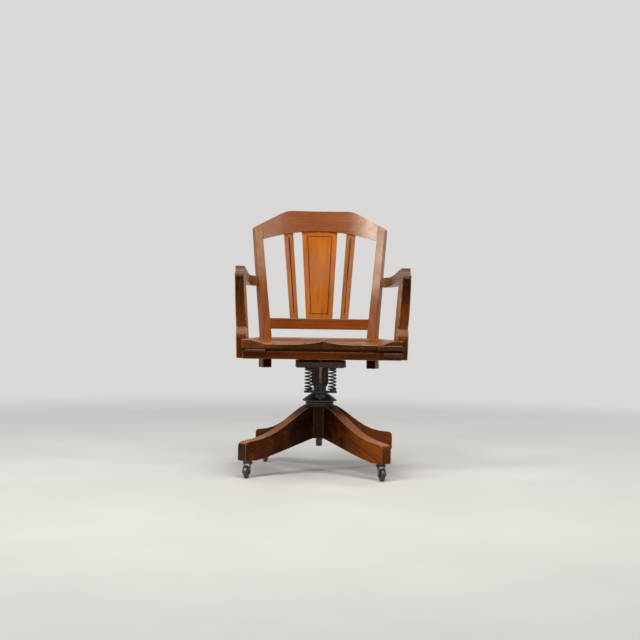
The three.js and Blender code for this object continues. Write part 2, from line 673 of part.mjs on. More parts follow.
function spring() {
  const steps = SPRING_TURNS * SPRING_TURN_STEPS;
  const up = new THREE.Vector3(0, 0, 1);
  const middles = Array.from({ length: steps + 1 }, (_, i) => springPoint(i / SPRING_TURN_STEPS));
  const rings = middles.map((middle) => {
    const out = new THREE.Vector3(middle.x, middle.y, 0).normalize();
    return Array.from({ length: SPRING_WIRE_SIDES }, (_, side) => {
      const angle = ((side + 0.25) / SPRING_WIRE_SIDES) * -2 * Math.PI;
      const offset = out.clone().multiplyScalar(Math.cos(angle)).addScaledVector(up, Math.sin(angle));
      return middle.clone().addScaledVector(offset, SPRING_WIRE / 2);
    });
  });
  return loft(rings);
}

// The least gap between two turns of a spring's wire, along the wire's middle line
function springSelfGap() {
  let least = Infinity;
  const last = (SPRING_TURNS - 1) * SPRING_TURN_STEPS;
  for (let i = 0; i <= last; i += 1) {
    const here = springPoint(i / SPRING_TURN_STEPS);
    const above = springPoint(i / SPRING_TURN_STEPS + 1);
    least = Math.min(least, here.distanceTo(above) - SPRING_WIRE);
  }
  return least;
}

function springPlate() {
  const middleZ = (plateTop + plateBottom) / 2;
  const bar = box(PLATE_LENGTH, PLATE_DEPTH, PLATE_THICKNESS, 0, -SPRING_REACH, middleZ);
  const bosses = [-SPRING_SPACING / 2, SPRING_SPACING / 2].map((x) =>
    rod(SPRING_BOSS_DIAMETER / 2, middleZ, plateTop + SPRING_BOSS_HEIGHT).translate(x, -SPRING_REACH, 0),
  );
  const bore = rod(boreFor(BOLT_DIAMETER), plateBottom - OVERRUN, plateTop + OVERRUN);
  return cut(joined(bar, ...bosses), solidOf(bore.translate(0, -SPRING_REACH, 0)));
}

function tensionBolt() {
  const eye = crossRod(BOLT_EYE_DIAMETER / 2, BOLT_EYE_WIDTH).translate(0, 0, crossBarZ);
  const shank = rod(BOLT_DIAMETER / 2, knobBottom - BOLT_TAIL, crossBarZ);
  const bore = crossRod(boreFor(CROSS_BAR_DIAMETER), BOLT_EYE_WIDTH + OVERRUN).translate(0, 0, crossBarZ);
  return cut(joined(eye, shank), solidOf(bore)).translate(0, -SPRING_REACH, 0);
}

function tensionKnob() {
  const bore = boreFor(BOLT_DIAMETER);
  const rim = KNOB_DIAMETER / 2;
  const edge = KNOB_HEIGHT / 5;
  return turned([
    [bore, knobBottom],
    [rim - edge, knobBottom],
    [rim, knobBottom + edge],
    [rim, plateBottom - GAP - edge],
    [rim - edge, plateBottom - GAP],
    [bore, plateBottom - GAP],
    [bore, knobBottom],
  ]).translate(0, -SPRING_REACH, 0);
}

// An iron under the seat: a flange along the plank, and a web with the pivot's eye
function seatIron() {
  const eye = BARREL_DIAMETER / 2;
  const front = frontRailFront + RAIL_THICKNESS + IRON_FRONT_INSET;
  const back = rearRailY - RAIL_THICKNESS / 2 - IRON_BACK_INSET;
  const flangeBottom = ironTop - IRON_FLANGE;
  const path = new THREE.Path();
  path.moveTo(-IRON_WEB_FRONT - IRON_SLOPE, flangeBottom + IRON_FLANGE / 2);
  path.lineTo(-IRON_WEB_FRONT, ironWebBottom);
  path.lineTo(-eye, ironWebBottom);
  path.absarc(0, pivotZ, eye, Math.PI, 2 * Math.PI);
  bendTo(path, IRON_WEB_BACK, flangeBottom + IRON_FLANGE / 2, IRON_BACK_SHARES);
  const web = sidePrism(cornersOf(path), IRON_WEB);
  const flangeZ = ironTop - IRON_FLANGE / 2;
  const flange = box(IRON_WIDTH, back - front, IRON_FLANGE, 0, (front + back) / 2, flangeZ);
  const pivotBore = crossRod(boreFor(PIVOT_DIAMETER), IRON_WEB + OVERRUN).translate(0, 0, pivotZ);
  const barBore = crossRod(boreFor(CROSS_BAR_DIAMETER), IRON_WEB + OVERRUN);
  barBore.translate(0, -SPRING_REACH, crossBarZ);
  return cut(joined(web, flange), solidOf(pivotBore), solidOf(barBore)).translate(IRON_SPACING / 2, 0, 0);
}

function headedPin(diameter, headDiameter, headThickness, seatedLength) {
  const inner = seatedLength / 2 + GAP;
  const outer = inner + headThickness;
  const shaft = diameter / 2;
  const head = headDiameter / 2;
  return turned([
    [0, -outer], [head, -outer], [head, -inner], [shaft, -inner],
    [shaft, inner], [head, inner], [head, outer], [0, outer],
  ]).rotateY(Math.PI / 2);
}

function buffer() {
  const low = crossheadTop + GAP;
  const disc = rod(BUFFER_DIAMETER / 2, low, low + BUFFER_HEIGHT);
  return disc.translate(IRON_SPACING / 2, -SPRING_REACH, 0);
}

function column() {
  const group = new THREE.Group();
  add(group, "thrust_washer", thrustWasher(), WHEEL_STEEL);
  add(group, "handwheel", handwheel(), BLACK_IRON);
  add(group, "height_screw", heightScrew(), WHEEL_STEEL);
  add(group, "tilt_yoke", tiltYoke(), BLACK_IRON);
  addPair(group, "rest_buffer", buffer(), RUBBER);
  const springShape = spring().translate(SPRING_SPACING / 2, -SPRING_REACH, plateTop + GAP);
  addPair(group, "tilt_spring", springShape, SPRING_STEEL);
  add(group, "spring_plate", springPlate(), BLACK_IRON);
  add(group, "tension_bolt", tensionBolt(), WHEEL_STEEL);
  add(group, "tension_knob", tensionKnob(), BLACK_IRON);
  addPair(group, "seat_iron", seatIron(), BLACK_IRON);
  const ironsWidth = IRON_SPACING + IRON_WEB;
  const pivotPin = headedPin(PIVOT_DIAMETER, PIVOT_HEAD_DIAMETER, PIVOT_HEAD_THICKNESS, ironsWidth);
  add(group, "pivot_pin", pivotPin, WHEEL_STEEL).position.z = pivotZ;
  const crossBar = crossRod(CROSS_BAR_DIAMETER / 2, ironsWidth);
  add(group, "tension_cross_bar", crossBar, WHEEL_STEEL).position.set(0, -SPRING_REACH, crossBarZ);
  return group;
}

// Arms: a curved band in plan, cut to its side outline in (y, z)
const armFrontTop = seatTop + ARM_FRONT_RISE;
const armFrontBottom = armFrontTop - ARM_HEIGHT;
const armNose = seatFront - ARM_NOSE;
const armBackTop = seatTop + ARM_BACK_RISE;
const armBackZ = armBackTop - ARM_HEIGHT / 2;
const armPostTopFront = armNose + ARM_POST_TOP_SETBACK;
const armPostTopBack = armPostTopFront + ARM_POST_TOP_DEPTH;
const armBendY = backPostY(armBackZ) - ARM_BEND_LENGTH;
const armTurn = Math.atan2(ARM_FRONT_X - ARM_BEND_X, armBendY - seatFront);

function arm() {
  const middle = new THREE.Path();
  middle.moveTo(ARM_FRONT_X + ARM_NOSE * Math.tan(armTurn), armNose);
  middle.lineTo(ARM_BEND_X, armBendY);
  bendTo(middle, backPostX(armBackZ) + backPostWidth(armBackZ) / 2, backPostY(armBackZ), ARM_BEND_SHARES);
  const plan = prism(bandAlong(middle, ARM_WIDTH), 2 * (armFrontTop + OVERRUN));

  const back = backPostY(armBackZ) + backPostDepth(armBackZ) / 2;
  const side = new THREE.Path();
  side.moveTo(armNose + ARM_POST_TOP_SETBACK / 2, armFrontBottom);
  side.lineTo(armPostTopBack, armFrontBottom);
  bendTo(side, back, armBackTop - ARM_HEIGHT, ARM_UNDERSIDE_SHARES);
  side.lineTo(back, armBackTop);
  bendTo(side, armNose + ARM_NOSE_LENGTH, armFrontTop, ARM_TOP_SHARES);
  bendTo(side, armNose, armFrontBottom + ARM_HEIGHT / 4, ARM_NOSE_SHARES);
  const profile = sidePrism(cornersOf(side), 2 * (ARM_FRONT_X + ARM_WIDTH + OVERRUN));
  return solidOf(plan).intersect(solidOf(profile));
}

// An arm's post: its side outline in (y, z), with sides that lean out and draw in towards the arm
function armPost(grow = 0) {
  const footFront = seatFront + ARM_POST_SETBACK;
  const footBack = footFront + ARM_POST_FOOT_DEPTH;
  const footBottom = seatTop - ARM_POST_FOOT_DROP;
  const ledge = seatTop + ARM_POST_FOOT_RISE;
  const top = armFrontBottom - GAP + grow;
  const path = new THREE.Path();
  path.moveTo(footFront, footBottom);
  path.lineTo(footBack, footBottom);
  path.lineTo(footBack, ledge);
  bendTo(path, armPostTopBack, top, ARM_POST_BACK_SHARES);
  path.lineTo(armPostTopFront, top);
  bendTo(path, footFront + ARM_POST_LEDGE, ledge + ARM_POST_LEDGE_HEIGHT, ARM_POST_FRONT_SHARES);
  bendTo(path, footFront, ledge, ARM_POST_LEDGE_SHARES);
  const post = sidePrism(grown(cornersOf(path), grow), 1);
  const corner = new THREE.Vector3();
  const places = post.getAttribute("position");
  for (let i = 0; i < places.count; i += 1) {
    corner.fromBufferAttribute(places, i);
    const climb = (corner.z - footBottom) / (top - footBottom);
    const thickness = mix(ARM_POST_FOOT_THICKNESS, ARM_POST_TOP_THICKNESS, climb) + 2 * grow;
    const middle = mix(ARM_POST_FOOT_X, ARM_FRONT_X, climb) - ARM_FRONT_X;
    places.setXYZ(i, middle + corner.x * thickness, corner.y - seatFront, corner.z);
  }
  return post.rotateZ(armTurn).translate(ARM_FRONT_X, seatFront, 0);
}

// A back post's section at a height
const backPostWidth = (z) => mix(BACK_POST_FOOT_WIDTH, BACK_POST_TOP_WIDTH, backShare(z));
const backPostDepth = (z) => mix(BACK_POST_FOOT_DEPTH, BACK_POST_TOP_DEPTH, backShare(z));

// A block along a back post, turned as it is; the reaches at a height are from the post's middle
function postBlock(reachesAt, drop = 0) {
  const turn = THREE.MathUtils.degToRad(BACK_POST_TURN);
  const rings = [seatTop - BACK_POST_DROP - drop, seatTop, crestTop].map((z) => {
    const [inner, outer, depth] = reachesAt(z);
    return [[-inner, -depth], [outer, -depth], [outer, depth], [-inner, depth]].map(([across, along]) => {
      const corner = point(across, along).rotateAround(point(0, 0), -turn);
      return new THREE.Vector3(backPostX(z) + corner.x, backPostY(z) + corner.y, z);
    });
  });
  return loft(rings);
}

function backPost(grow = 0) {
  const reachesAt = (z) => {
    const side = backPostWidth(z) / 2 + grow;
    return [side, side, backPostDepth(z) / 2 + grow];
  };
  return postBlock(reachesAt, grow);
}

// Everything on the inner side of a back post's outer face, where an arm ends
function armStop() {
  const reach = BACK_POST_FOOT_DEPTH + OVERRUN;
  return postBlock((z) => [reach, backPostWidth(z) / 2 + GAP, reach]);
}

function bowRadius(bow, halfSpan) {
  return (bow ** 2 + halfSpan ** 2) / (2 * bow);
}

// A rail that bows back between the posts and leans with them
function bowedRail({ bow, thickness, low, high }, grow = 0) {
  const middle = (low + high) / 2;
  const halfSpan = backPostX(middle);
  const radius = bowRadius(bow, halfSpan);
  const reach = Math.asin(halfSpan / radius);
  const rings = Array.from({ length: RAIL_STEPS + 1 }, (_, i) => {
    const angle = mix(-reach, reach, i / RAIL_STEPS);
    const at = (side, z) => {
      const r = radius + side * (thickness / 2 + grow);
      const y = backPostY(z) + bow - radius + r * Math.cos(angle);
      return new THREE.Vector3(r * Math.sin(angle), y, z);
    };
    return [at(-1, low - grow), at(1, low - grow), at(1, high + grow), at(-1, high + grow)];
  });
  return loft(rings);
}

const LOWER_RAIL = {
  bow: LOWER_RAIL_BOW,
  thickness: LOWER_RAIL_THICKNESS,
  low: seatTop + LOWER_RAIL_RISE,
  high: seatTop + LOWER_RAIL_RISE + LOWER_RAIL_HEIGHT,
};
const crestJointBottom = crestArchZ - CREST_ARCH_DROP;
const CREST = {
  bow: CREST_BOW,
  thickness: CREST_THICKNESS,
  low: crestJointBottom - CREST_ARCH_DROP,
  high: crestTop,
};

// Everything above the back's top line: flat in the middle, then falling to the posts' corners
function aboveTopLine() {
  const flat = CREST_FLAT_WIDTH / 2;
  const top = crestTop;
  const cornerZ = crestTop - BACK_FALL;
  const cornerX = backPostX(cornerZ) + backPostWidth(cornerZ) / 2;
  const fall = (top - cornerZ) / (cornerX - flat);
  const outer = cornerX + OVERRUN;
  const path = new THREE.Path();
  path.moveTo(-outer, top - fall * (outer - flat));
  path.lineTo(-flat - CREST_SOFT_CORNER, top - fall * CREST_SOFT_CORNER);
  path.quadraticCurveTo(-flat, top, -flat + CREST_SOFT_CORNER, top);
  path.lineTo(flat - CREST_SOFT_CORNER, top);
  path.quadraticCurveTo(flat, top, flat + CREST_SOFT_CORNER, top - fall * CREST_SOFT_CORNER);
  path.lineTo(outer, top - fall * (outer - flat));
  path.lineTo(outer, top + OVERRUN);
  path.lineTo(-outer, top + OVERRUN);
  return solidOf(uprightPrism(cornersOf(path), 2 * SEAT_DEPTH + 2 * OVERRUN));
}

// Everything under the crest's arched lower edge
function underArch(grow = 0) {
  const half = CREST_ARCH_SPAN / 2;
  const radius = bowRadius(CREST_ARCH_DROP, half);
  const reach = Math.asin(half / radius);
  const middleZ = crestArchZ - radius;
  const outer = half + BACK_POST_FOOT_WIDTH;
  const path = new THREE.Path();
  path.moveTo(-outer, CREST.low - OVERRUN);
  path.lineTo(outer, CREST.low - OVERRUN);
  path.lineTo(outer, crestJointBottom - grow);
  path.absarc(0, middleZ, radius - grow, Math.PI / 2 - reach, Math.PI / 2 + reach);
  path.lineTo(-outer, crestJointBottom - grow);
  return solidOf(uprightPrism(cornersOf(path), 2 * SEAT_DEPTH + 2 * OVERRUN));
}

// A board from one rail of the back to the other, drawn flat in (x, y) and stood up between them
function splatBoard(footX, headX, footWidth, headWidth, thickness, grooves) {
  const footZ = (LOWER_RAIL.low + LOWER_RAIL.high) / 2;
  const headZ = crestArchZ + CREST_THICKNESS;
  const railY = (x, z, { bow, low, high }) => {
    const radius = bowRadius(bow, backPostX((low + high) / 2));
    return backPostY(z) + bow - radius + Math.sqrt(radius ** 2 - x ** 2);
  };
  const foot = new THREE.Vector3(footX, railY(footX, footZ, LOWER_RAIL), footZ);
  const head = new THREE.Vector3(headX, railY(headX, headZ, CREST), headZ);
  const height = foot.distanceTo(head);
  const slopeShare = (headWidth - footWidth) / (crestArchZ - LOWER_RAIL.high);
  const low = footWidth - slopeShare * (LOWER_RAIL.high - footZ);
  const high = headWidth + slopeShare * CREST_THICKNESS;
  const corners = [
    point(-low / 2, 0), point(low / 2, 0), point(high / 2, height), point(-high / 2, height),
  ];
  const radius = bowRadius(CREST.bow, backPostX((CREST.low + CREST.high) / 2));
  const turn = Math.asin((footX + headX) / 2 / radius);
  const up = head.clone().sub(foot).normalize();
  const front = new THREE.Vector3(Math.cos(turn), -Math.sin(turn), 0).cross(up).normalize();
  const across = up.clone().cross(front);
  const stand = new THREE.Matrix4().makeBasis(across, up, front).setPosition(foot);
  const board = cut(solidOf(prism(corners, thickness)), ...grooves(height, thickness / 2));
  return geometryOf(board).applyMatrix4(stand);
}

// A tapered band cut into a board's face, from one height to another
function taperedCut(lowWidth, highWidth, low, high, face, depth) {
  const corners = [
    point(-lowWidth / 2, low), point(lowWidth / 2, low),
    point(highWidth / 2, high), point(-highWidth / 2, high),
  ];
  return solidOf(prism(corners, 2 * depth).translate(0, 0, face));
}

function splatGrooves(height, face) {
  const low = LOWER_RAIL_HEIGHT / 2 + PANEL_FOOT_MARGIN;
  const high = height - CREST_THICKNESS - PANEL_HEAD_MARGIN;
  const line = SPLAT_LINE_WIDTH;
  const [lowWidth, highWidth] = [SPLAT_PANEL_FOOT_WIDTH, SPLAT_PANEL_HEAD_WIDTH];
  const outer = taperedCut(lowWidth + 2 * line, highWidth + 2 * line, low - line, high + line, face,
    SPLAT_LINE_DEPTH);
  return [cut(outer, taperedCut(lowWidth, highWidth, low, high, face, SPLAT_LINE_DEPTH + GAP))];
}

function slatGrooves(height, face) {
  const low = LOWER_RAIL_HEIGHT / 2 + PANEL_FOOT_MARGIN;
  const high = height - CREST_THICKNESS - SLAT_GROOVE_HEAD_MARGIN;
  const [lowWidth, highWidth] = [SLAT_GROOVE_FOOT_WIDTH, SLAT_GROOVE_HEAD_WIDTH];
  const end = rod(highWidth / 2, -SLAT_GROOVE_DEPTH, SLAT_GROOVE_DEPTH).translate(0, high, face);
  return [taperedCut(lowWidth, highWidth, low, high, face, SLAT_GROOVE_DEPTH).add(solidOf(end))];
}

// Seat
const seatHalfWidth = (y) => mix(SEAT_FRONT_WIDTH, SEAT_BACK_WIDTH, (y - seatFront) / SEAT_DEPTH) / 2;

// How far the seat's top is hollowed out: two scoops at the front edge that join into one dish
function scoopAt(x, y) {
  const along = (y - seatFront) / SEAT_DEPTH;
  const across = Math.abs(x) / ((SEAT_FRONT_WIDTH / 2) * SCOOP_WIDTH_SHARE);
  if (across >= 1) return 0;
  const dished = smooth((1 - across) / SCOOP_SIDE_SHARE);
  const ridged = across < 0.5 ? Math.sin(Math.PI * across) ** SCOOP_POMMEL_SHARE : dished;
  const pommel = 1 - smooth(along / POMMEL_LENGTH_SHARE);
  const [start, end] = SCOOP_FADE_SHARES;
  const fade = 1 - smooth((along - start) / (end - start));
  return SCOOP_DEPTH * fade * mix(dished, ridged, pommel);
}

function plankBlank() {
  const points = [];
  const indices = [];
  const row = SEAT_COLUMNS + 1;
  const rim = [];
  for (let j = 0; j <= SEAT_ROWS; j += 1) {
    const y = mix(seatFront, seatBack, j / SEAT_ROWS);
    for (let i = 0; i <= SEAT_COLUMNS; i += 1) {
      const x = mix(-1, 1, i / SEAT_COLUMNS) * seatHalfWidth(y);
      points.push(new THREE.Vector3(x, y, seatTop - scoopAt(x, y)));
      const here = j * row + i;
      if (i && j) indices.push(here - row - 1, here - row, here, here - row - 1, here, here - 1);
    }
  }
  for (let i = 0; i < SEAT_COLUMNS; i += 1) rim.push(i);
  for (let j = 0; j < SEAT_ROWS; j += 1) rim.push(j * row + SEAT_COLUMNS);
  for (let i = SEAT_COLUMNS; i > 0; i -= 1) rim.push(SEAT_ROWS * row + i);
  for (let j = SEAT_ROWS; j > 0; j -= 1) rim.push(j * row);
  const under = points.length;
  for (const top of rim) points.push(new THREE.Vector3(points[top].x, points[top].y, plankBottom));
  const middle = points.length;
  points.push(new THREE.Vector3(0, (seatFront + seatBack) / 2, plankBottom));
  rim.forEach((top, i) => {
    const next = (i + 1) % rim.length;
    indices.push(top, under + i, under + next);
    indices.push(top, under + next, rim[next]);
    indices.push(middle, under + next, under + i);
  });
  const geometry = new THREE.BufferGeometry().setFromPoints(points);
  geometry.setIndex(indices);
  return geometry;
}

function frontRail() {
  const length = SEAT_FRONT_WIDTH - 2 * FRONT_RAIL_END;
  const y = frontRailFront + RAIL_THICKNESS / 2;
  return box(length, RAIL_THICKNESS, RAIL_HEIGHT, 0, y, railTop - RAIL_HEIGHT / 2);
}

function sideRail() {
  const outer = (y) => seatHalfWidth(y) - SIDE_RAIL_SETBACK;
  const front = frontRailFront + RAIL_THICKNESS + GAP;
  const back = rearRailY - RAIL_THICKNESS / 2 - GAP;
  const corners = [
    point(outer(front) - RAIL_THICKNESS, front), point(outer(front), front),
    point(outer(back), back), point(outer(back) - RAIL_THICKNESS, back),
  ];
  return prism(corners, RAIL_HEIGHT).translate(0, 0, railTop - RAIL_HEIGHT / 2);
}

function rearRail() {
  const length = 2 * BACK_POST_FOOT_X;
  return box(length, RAIL_THICKNESS, RAIL_HEIGHT, 0, rearRailY, railTop - RAIL_HEIGHT / 2);
}

// A half-round bar with round ends, its flat back against the plank's or the rail's front
function roll(left, length, height, face, z) {
  const depth = face - (seatFront + FRONT_RAIL_SETBACK - ROLL_DEPTH);
  const bar = new THREE.CapsuleGeometry(height / 2, length - height, SHORT_CURVE_STEPS, ROUND_STEPS / 2);
  bar.rotateZ(Math.PI / 2).scale(1, (2 * depth) / height, 1);
  bar.translate(left + length / 2, face - GAP, z);
  const behind = box(length + OVERRUN, depth + OVERRUN, height + OVERRUN, left + length / 2, 0, z);
  behind.translate(0, face - GAP + (depth + OVERRUN) / 2, 0);
  return cut(solidOf(bar), solidOf(behind));
}

function addRolls(group) {
  const end = SEAT_FRONT_WIDTH / 2;
  const addRoll = (name, left, length, height, face, rise) =>
    add(group, name, roll(left, length, height, face, plankBottom + rise), SHADED_OAK);
  const left = LEFT_ROLL_INSET - end;
  addRoll("front_roll_left", left, LEFT_ROLL_LENGTH, LEFT_ROLL_HEIGHT, frontRailFront, -LEFT_ROLL_DROP);
  const upper = end - UPPER_ROLL_INSET - UPPER_ROLL_LENGTH;
  addRoll("front_roll_right_upper", upper, UPPER_ROLL_LENGTH, UPPER_ROLL_HEIGHT, seatFront, UPPER_ROLL_RISE);
  const lower = end - LOWER_ROLL_INSET - LOWER_ROLL_LENGTH;
  addRoll("front_roll_right_lower", lower, LOWER_ROLL_LENGTH, LOWER_ROLL_HEIGHT, frontRailFront,
    -LOWER_ROLL_DROP);
}

function seat() {
  const group = new THREE.Group();
  const armPosts = pairOf(armPost(GAP));
  const backPosts = pairOf(backPost(GAP));
  add(group, "seat_plank", cut(solidOf(plankBlank()), armPosts, backPosts), OAK);
  add(group, "front_rail", cut(solidOf(frontRail()), armPosts), SHADED_OAK);
  add(group, "rear_rail", cut(solidOf(rearRail()), backPosts), SHADED_OAK);
  addPair(group, "side_rail", cut(solidOf(sideRail()), armPosts, backPosts), SHADED_OAK);
  addRolls(group);
  addPair(group, "arm_post", armPost(), OAK);
  addPair(group, "arm", cut(arm(), solidOf(armStop())), OAK);
  return group;
}

function back() {
  const group = new THREE.Group();
  const posts = pairOf(backPost(GAP));
  const top = aboveTopLine();
  const crestAround = cut(solidOf(bowedRail(CREST, GAP)), underArch(GAP));
  const lowerAround = solidOf(bowedRail(LOWER_RAIL, GAP));
  addPair(group, "back_post", cut(solidOf(backPost()), top), OAK);
  add(group, "crest_rail", cut(solidOf(bowedRail(CREST)), top, underArch(), posts), OAK);
  add(group, "lower_back_rail", cut(solidOf(bowedRail(LOWER_RAIL)), posts), OAK);
  const fitted = (board) => cut(solidOf(board), crestAround, lowerAround);
  const splat = splatBoard(0, 0, SPLAT_FOOT_WIDTH, SPLAT_HEAD_WIDTH, SPLAT_THICKNESS, splatGrooves);
  add(group, "centre_splat", fitted(splat), PANEL_OAK);
  const slat = splatBoard(SLAT_FOOT_X, SLAT_HEAD_X, SLAT_FOOT_WIDTH, SLAT_HEAD_WIDTH, SLAT_THICKNESS,
    slatGrooves);
  addPair(group, "back_slat", fitted(slat), OAK);
  return group;
}

console.log(`least gap of a spring's wire to itself: ${springSelfGap().toFixed(2)} mm`);

const chair = new THREE.Group();
chair.add(base(), column(), seat(), back());
export default chair;
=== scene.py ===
"""Looks of the swivel chair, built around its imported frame. Lengths are in metres, angles in degrees."""

import json
import math

import bmesh
import bpy
from mathutils import Matrix, Vector


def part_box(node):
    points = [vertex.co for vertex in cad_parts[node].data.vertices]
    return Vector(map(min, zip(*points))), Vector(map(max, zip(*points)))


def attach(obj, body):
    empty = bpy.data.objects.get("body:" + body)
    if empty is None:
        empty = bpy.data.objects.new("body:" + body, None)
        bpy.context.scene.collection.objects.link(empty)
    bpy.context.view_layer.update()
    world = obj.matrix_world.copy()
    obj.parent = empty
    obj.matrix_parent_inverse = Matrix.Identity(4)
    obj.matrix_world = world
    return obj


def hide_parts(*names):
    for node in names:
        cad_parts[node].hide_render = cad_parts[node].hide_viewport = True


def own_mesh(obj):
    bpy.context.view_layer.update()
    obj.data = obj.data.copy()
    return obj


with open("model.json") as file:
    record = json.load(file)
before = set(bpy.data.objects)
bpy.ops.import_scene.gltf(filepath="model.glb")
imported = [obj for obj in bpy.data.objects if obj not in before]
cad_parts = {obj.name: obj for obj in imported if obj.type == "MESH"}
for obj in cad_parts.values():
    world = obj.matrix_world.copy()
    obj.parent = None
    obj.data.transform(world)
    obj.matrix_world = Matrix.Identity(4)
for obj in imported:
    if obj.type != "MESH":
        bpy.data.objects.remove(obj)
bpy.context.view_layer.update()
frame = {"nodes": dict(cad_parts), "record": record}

# Camera, level and rolled a little about its view axis
IMAGE_PIXELS = 640
FOCAL_PIXELS = 1130
SENSOR_WIDTH = 36
CAMERA_DISTANCE = 4.1
CAMERA_HEIGHT = 0.545
CAMERA_TURN = -1.6
CAMERA_ROLL = 0.85
AXIS_PIXELS_ASIDE = 0.8  # the swivel axis stands this far right of the picture's middle

# Stage and lights
STAGE_RADIUS = 14
STAGE_HEIGHT = 9
STAGE_CURVE = 5
STAGE_STEPS = 24
STAGE_SIDES = 96
FLOOR_COLOUR = (0.66, 0.645, 0.62)
FLOOR_SHADES = (0.97, 1.03)
WALL_COLOUR = (0.7, 0.69, 0.675)
WALL_FADE = (1.3, 4.2)  # where the floor starts and ends its turn to the wall's plain colour
WORLD_COLOUR = (0.9, 0.92, 0.95)
WORLD_STRENGTH = 0.3
LAMPS = [  # place, size, watts, colour
    ((-1.85, -1.95, 2.6), 0.9, 42, (1.0, 0.97, 0.93)),
    ((1.9, -1.95, 2.6), 0.8, 16, (1.0, 0.96, 0.9)),
    ((0.1, -0.9, 3.3), 1.9, 62, (1.0, 0.98, 0.95)),
    ((1.8, 2.0, 2.2), 1.0, 22, (0.97, 0.98, 1.0)),
    ((-1.8, 2.0, 2.2), 1.0, 16, (0.97, 0.98, 1.0)),
]
LAMP_AIM = (0, 0, 0.6)

BODY_OF = {node: body for body, nodes in frame["record"]["behaviour"]["bodies"].items() for node in nodes}


def mix(start, end, share):
    return start + share * (end - start)


def smooth(share):
    share = min(max(share, 0), 1)
    return share * share * (3 - 2 * share)


def toned(colour, share):
    return tuple(c * share for c in colour)


# Materials
class Graph:
    """A material's nodes. add() makes a node, sets or links its inputs, by name or as i0, i1 and so on by
    number, and returns one output."""

    def __init__(self, name):
        self.material = bpy.data.materials.new(name)
        self.material.use_nodes = True
        self.tree = self.material.node_tree
        self.shader = self.tree.nodes["Principled BSDF"]

    def add(self, kind, settings=None, output=0, **inputs):
        node = self.tree.nodes.new(kind)
        for key, value in (settings or {}).items():
            setattr(node, key, value)
        for key, value in inputs.items():
            self.feed(node.inputs[int(key[1:]) if key[1:].isdigit() else key.replace("_", " ")], value)
        return node.outputs[output]

    def feed(self, socket, value):
        if isinstance(value, bpy.types.NodeSocket):
            self.tree.links.new(value, socket)
        elif hasattr(socket.default_value, "__len__") and len(socket.default_value) == 4 and len(value) == 3:
            socket.default_value = (*value, 1)
        else:
            socket.default_value = value

    def fold(self, operation, first, others):
        for other in others:
            first = self.add("ShaderNodeMath", {"operation": operation}, i0=first, i1=other)
        return first

    def sum(self, first, *others):
        return self.fold("ADD", first, others)

    def product(self, first, *others):
        return self.fold("MULTIPLY", first, others)

    def scaled(self, vector, scale):
        return self.add("ShaderNodeVectorMath", {"operation": "MULTIPLY"}, i0=vector, i1=scale)

    def length(self, vector):
        return self.add("ShaderNodeVectorMath", {"operation": "LENGTH"}, output="Value", i0=vector)

    def parts(self, vector):
        return self.add("ShaderNodeSeparateXYZ", Vector=vector).node.outputs

    def place(self):
        return self.add("ShaderNodeTexCoord", output="Object")

    def attribute(self, name, output="Fac"):
        return self.add("ShaderNodeAttribute", {"attribute_name": name}, output=output)

    def noise(self, vector, scale=1.0, detail=2.0, roughness=0.5):
        return self.add("ShaderNodeTexNoise", Vector=vector, Scale=scale, Detail=detail, Roughness=roughness)

    def span(self, value, low, high, start=0.0, end=1.0):
        """value from low..high to start..end, smoothly and clamped."""
        return self.add("ShaderNodeMapRange", {"interpolation_type": "SMOOTHSTEP"},
                        i0=value, i1=low, i2=high, i3=start, i4=end)

    def within(self, share, measures, ramps):
        """A share narrowed by smooth ramps, each a measure's name, where it starts and where it is full."""
        for measure, start, end in ramps:
            share = self.product(self.span(measures[measure], start, end), share)
        return share

    def blend(self, share, first, second):
        return self.add("ShaderNodeMix", {"data_type": "RGBA"}, output=2, i0=share, i6=first, i7=second)

    def surface(self, **inputs):
        for key, value in inputs.items():
            self.feed(self.shader.inputs[key.replace("_", " ")], value)

    def bump(self, height, strength, distance):
        self.surface(Normal=self.add("ShaderNodeBump", Height=height, Strength=strength, Distance=distance))


# A span of four gives a noise's low and high values, then the shares that they stand for.
NOISE_MIDDLE = (0.3, 0.7)

# Oak: the scales run along and twice across the grain
DRIFT_SCALE = (2.5, 9, 9)
DRIFT_REACH = (0, 0.016, 0.016)
RING_SCALE = (0.12, 1, 1)
RINGS = {"Scale": 24.0, "Distortion": 2.0, "Detail": 2.0, "Detail_Scale": 1.4}
STREAK_SCALE = (4.5, 150, 150)
PORE_SCALE = (22, 780, 780)
BROAD_SCALE = (4, 17, 17)
FLECK_SCALE = (60, 240, 240)
STREAK_SHARE = 0.62
RING_SHARE = 0.2
BROAD_SHARE = 0.95
TONE_SHIFT = -0.42
MIDDLE_TONES = (0.16, 0.5)
PALE_TONES = (0.46, 0.85)
PORE_SPAN = (0.57, 0.72)
PORE_SHARE = 0.45
PORE_TONE = 0.3
FLECK_SPAN = (0.66, 0.74)
FLECK_SHARE = 0.2
PATCH_SCALE = 30.0
ZONE_PATCHES = (0.3, 0.6, 0.55, 1.0)
WEAR_PATCHES = (0.34, 0.58, 0.12, 1.0)
GROOVE_SHARE = 0.93
# Grime and painted shade, laid near-black in the cuts
GRIME_AND_SHADE = (0.012, 0.008, 0.006)
SMUDGE_SCALE = 13.0
SMUDGE_SPAN = (0.3, 0.75)
SMUDGE_ROUGHNESS = (-0.06, 0.14)
WORN_ROUGHNESS = 0.2
PORE_RELIEF = -0.8
STREAK_RELIEF = 0.7
OAK_BUMP = (0.35, 0.0004)
BARE_OAK = (0.42, 0.27, 0.16)


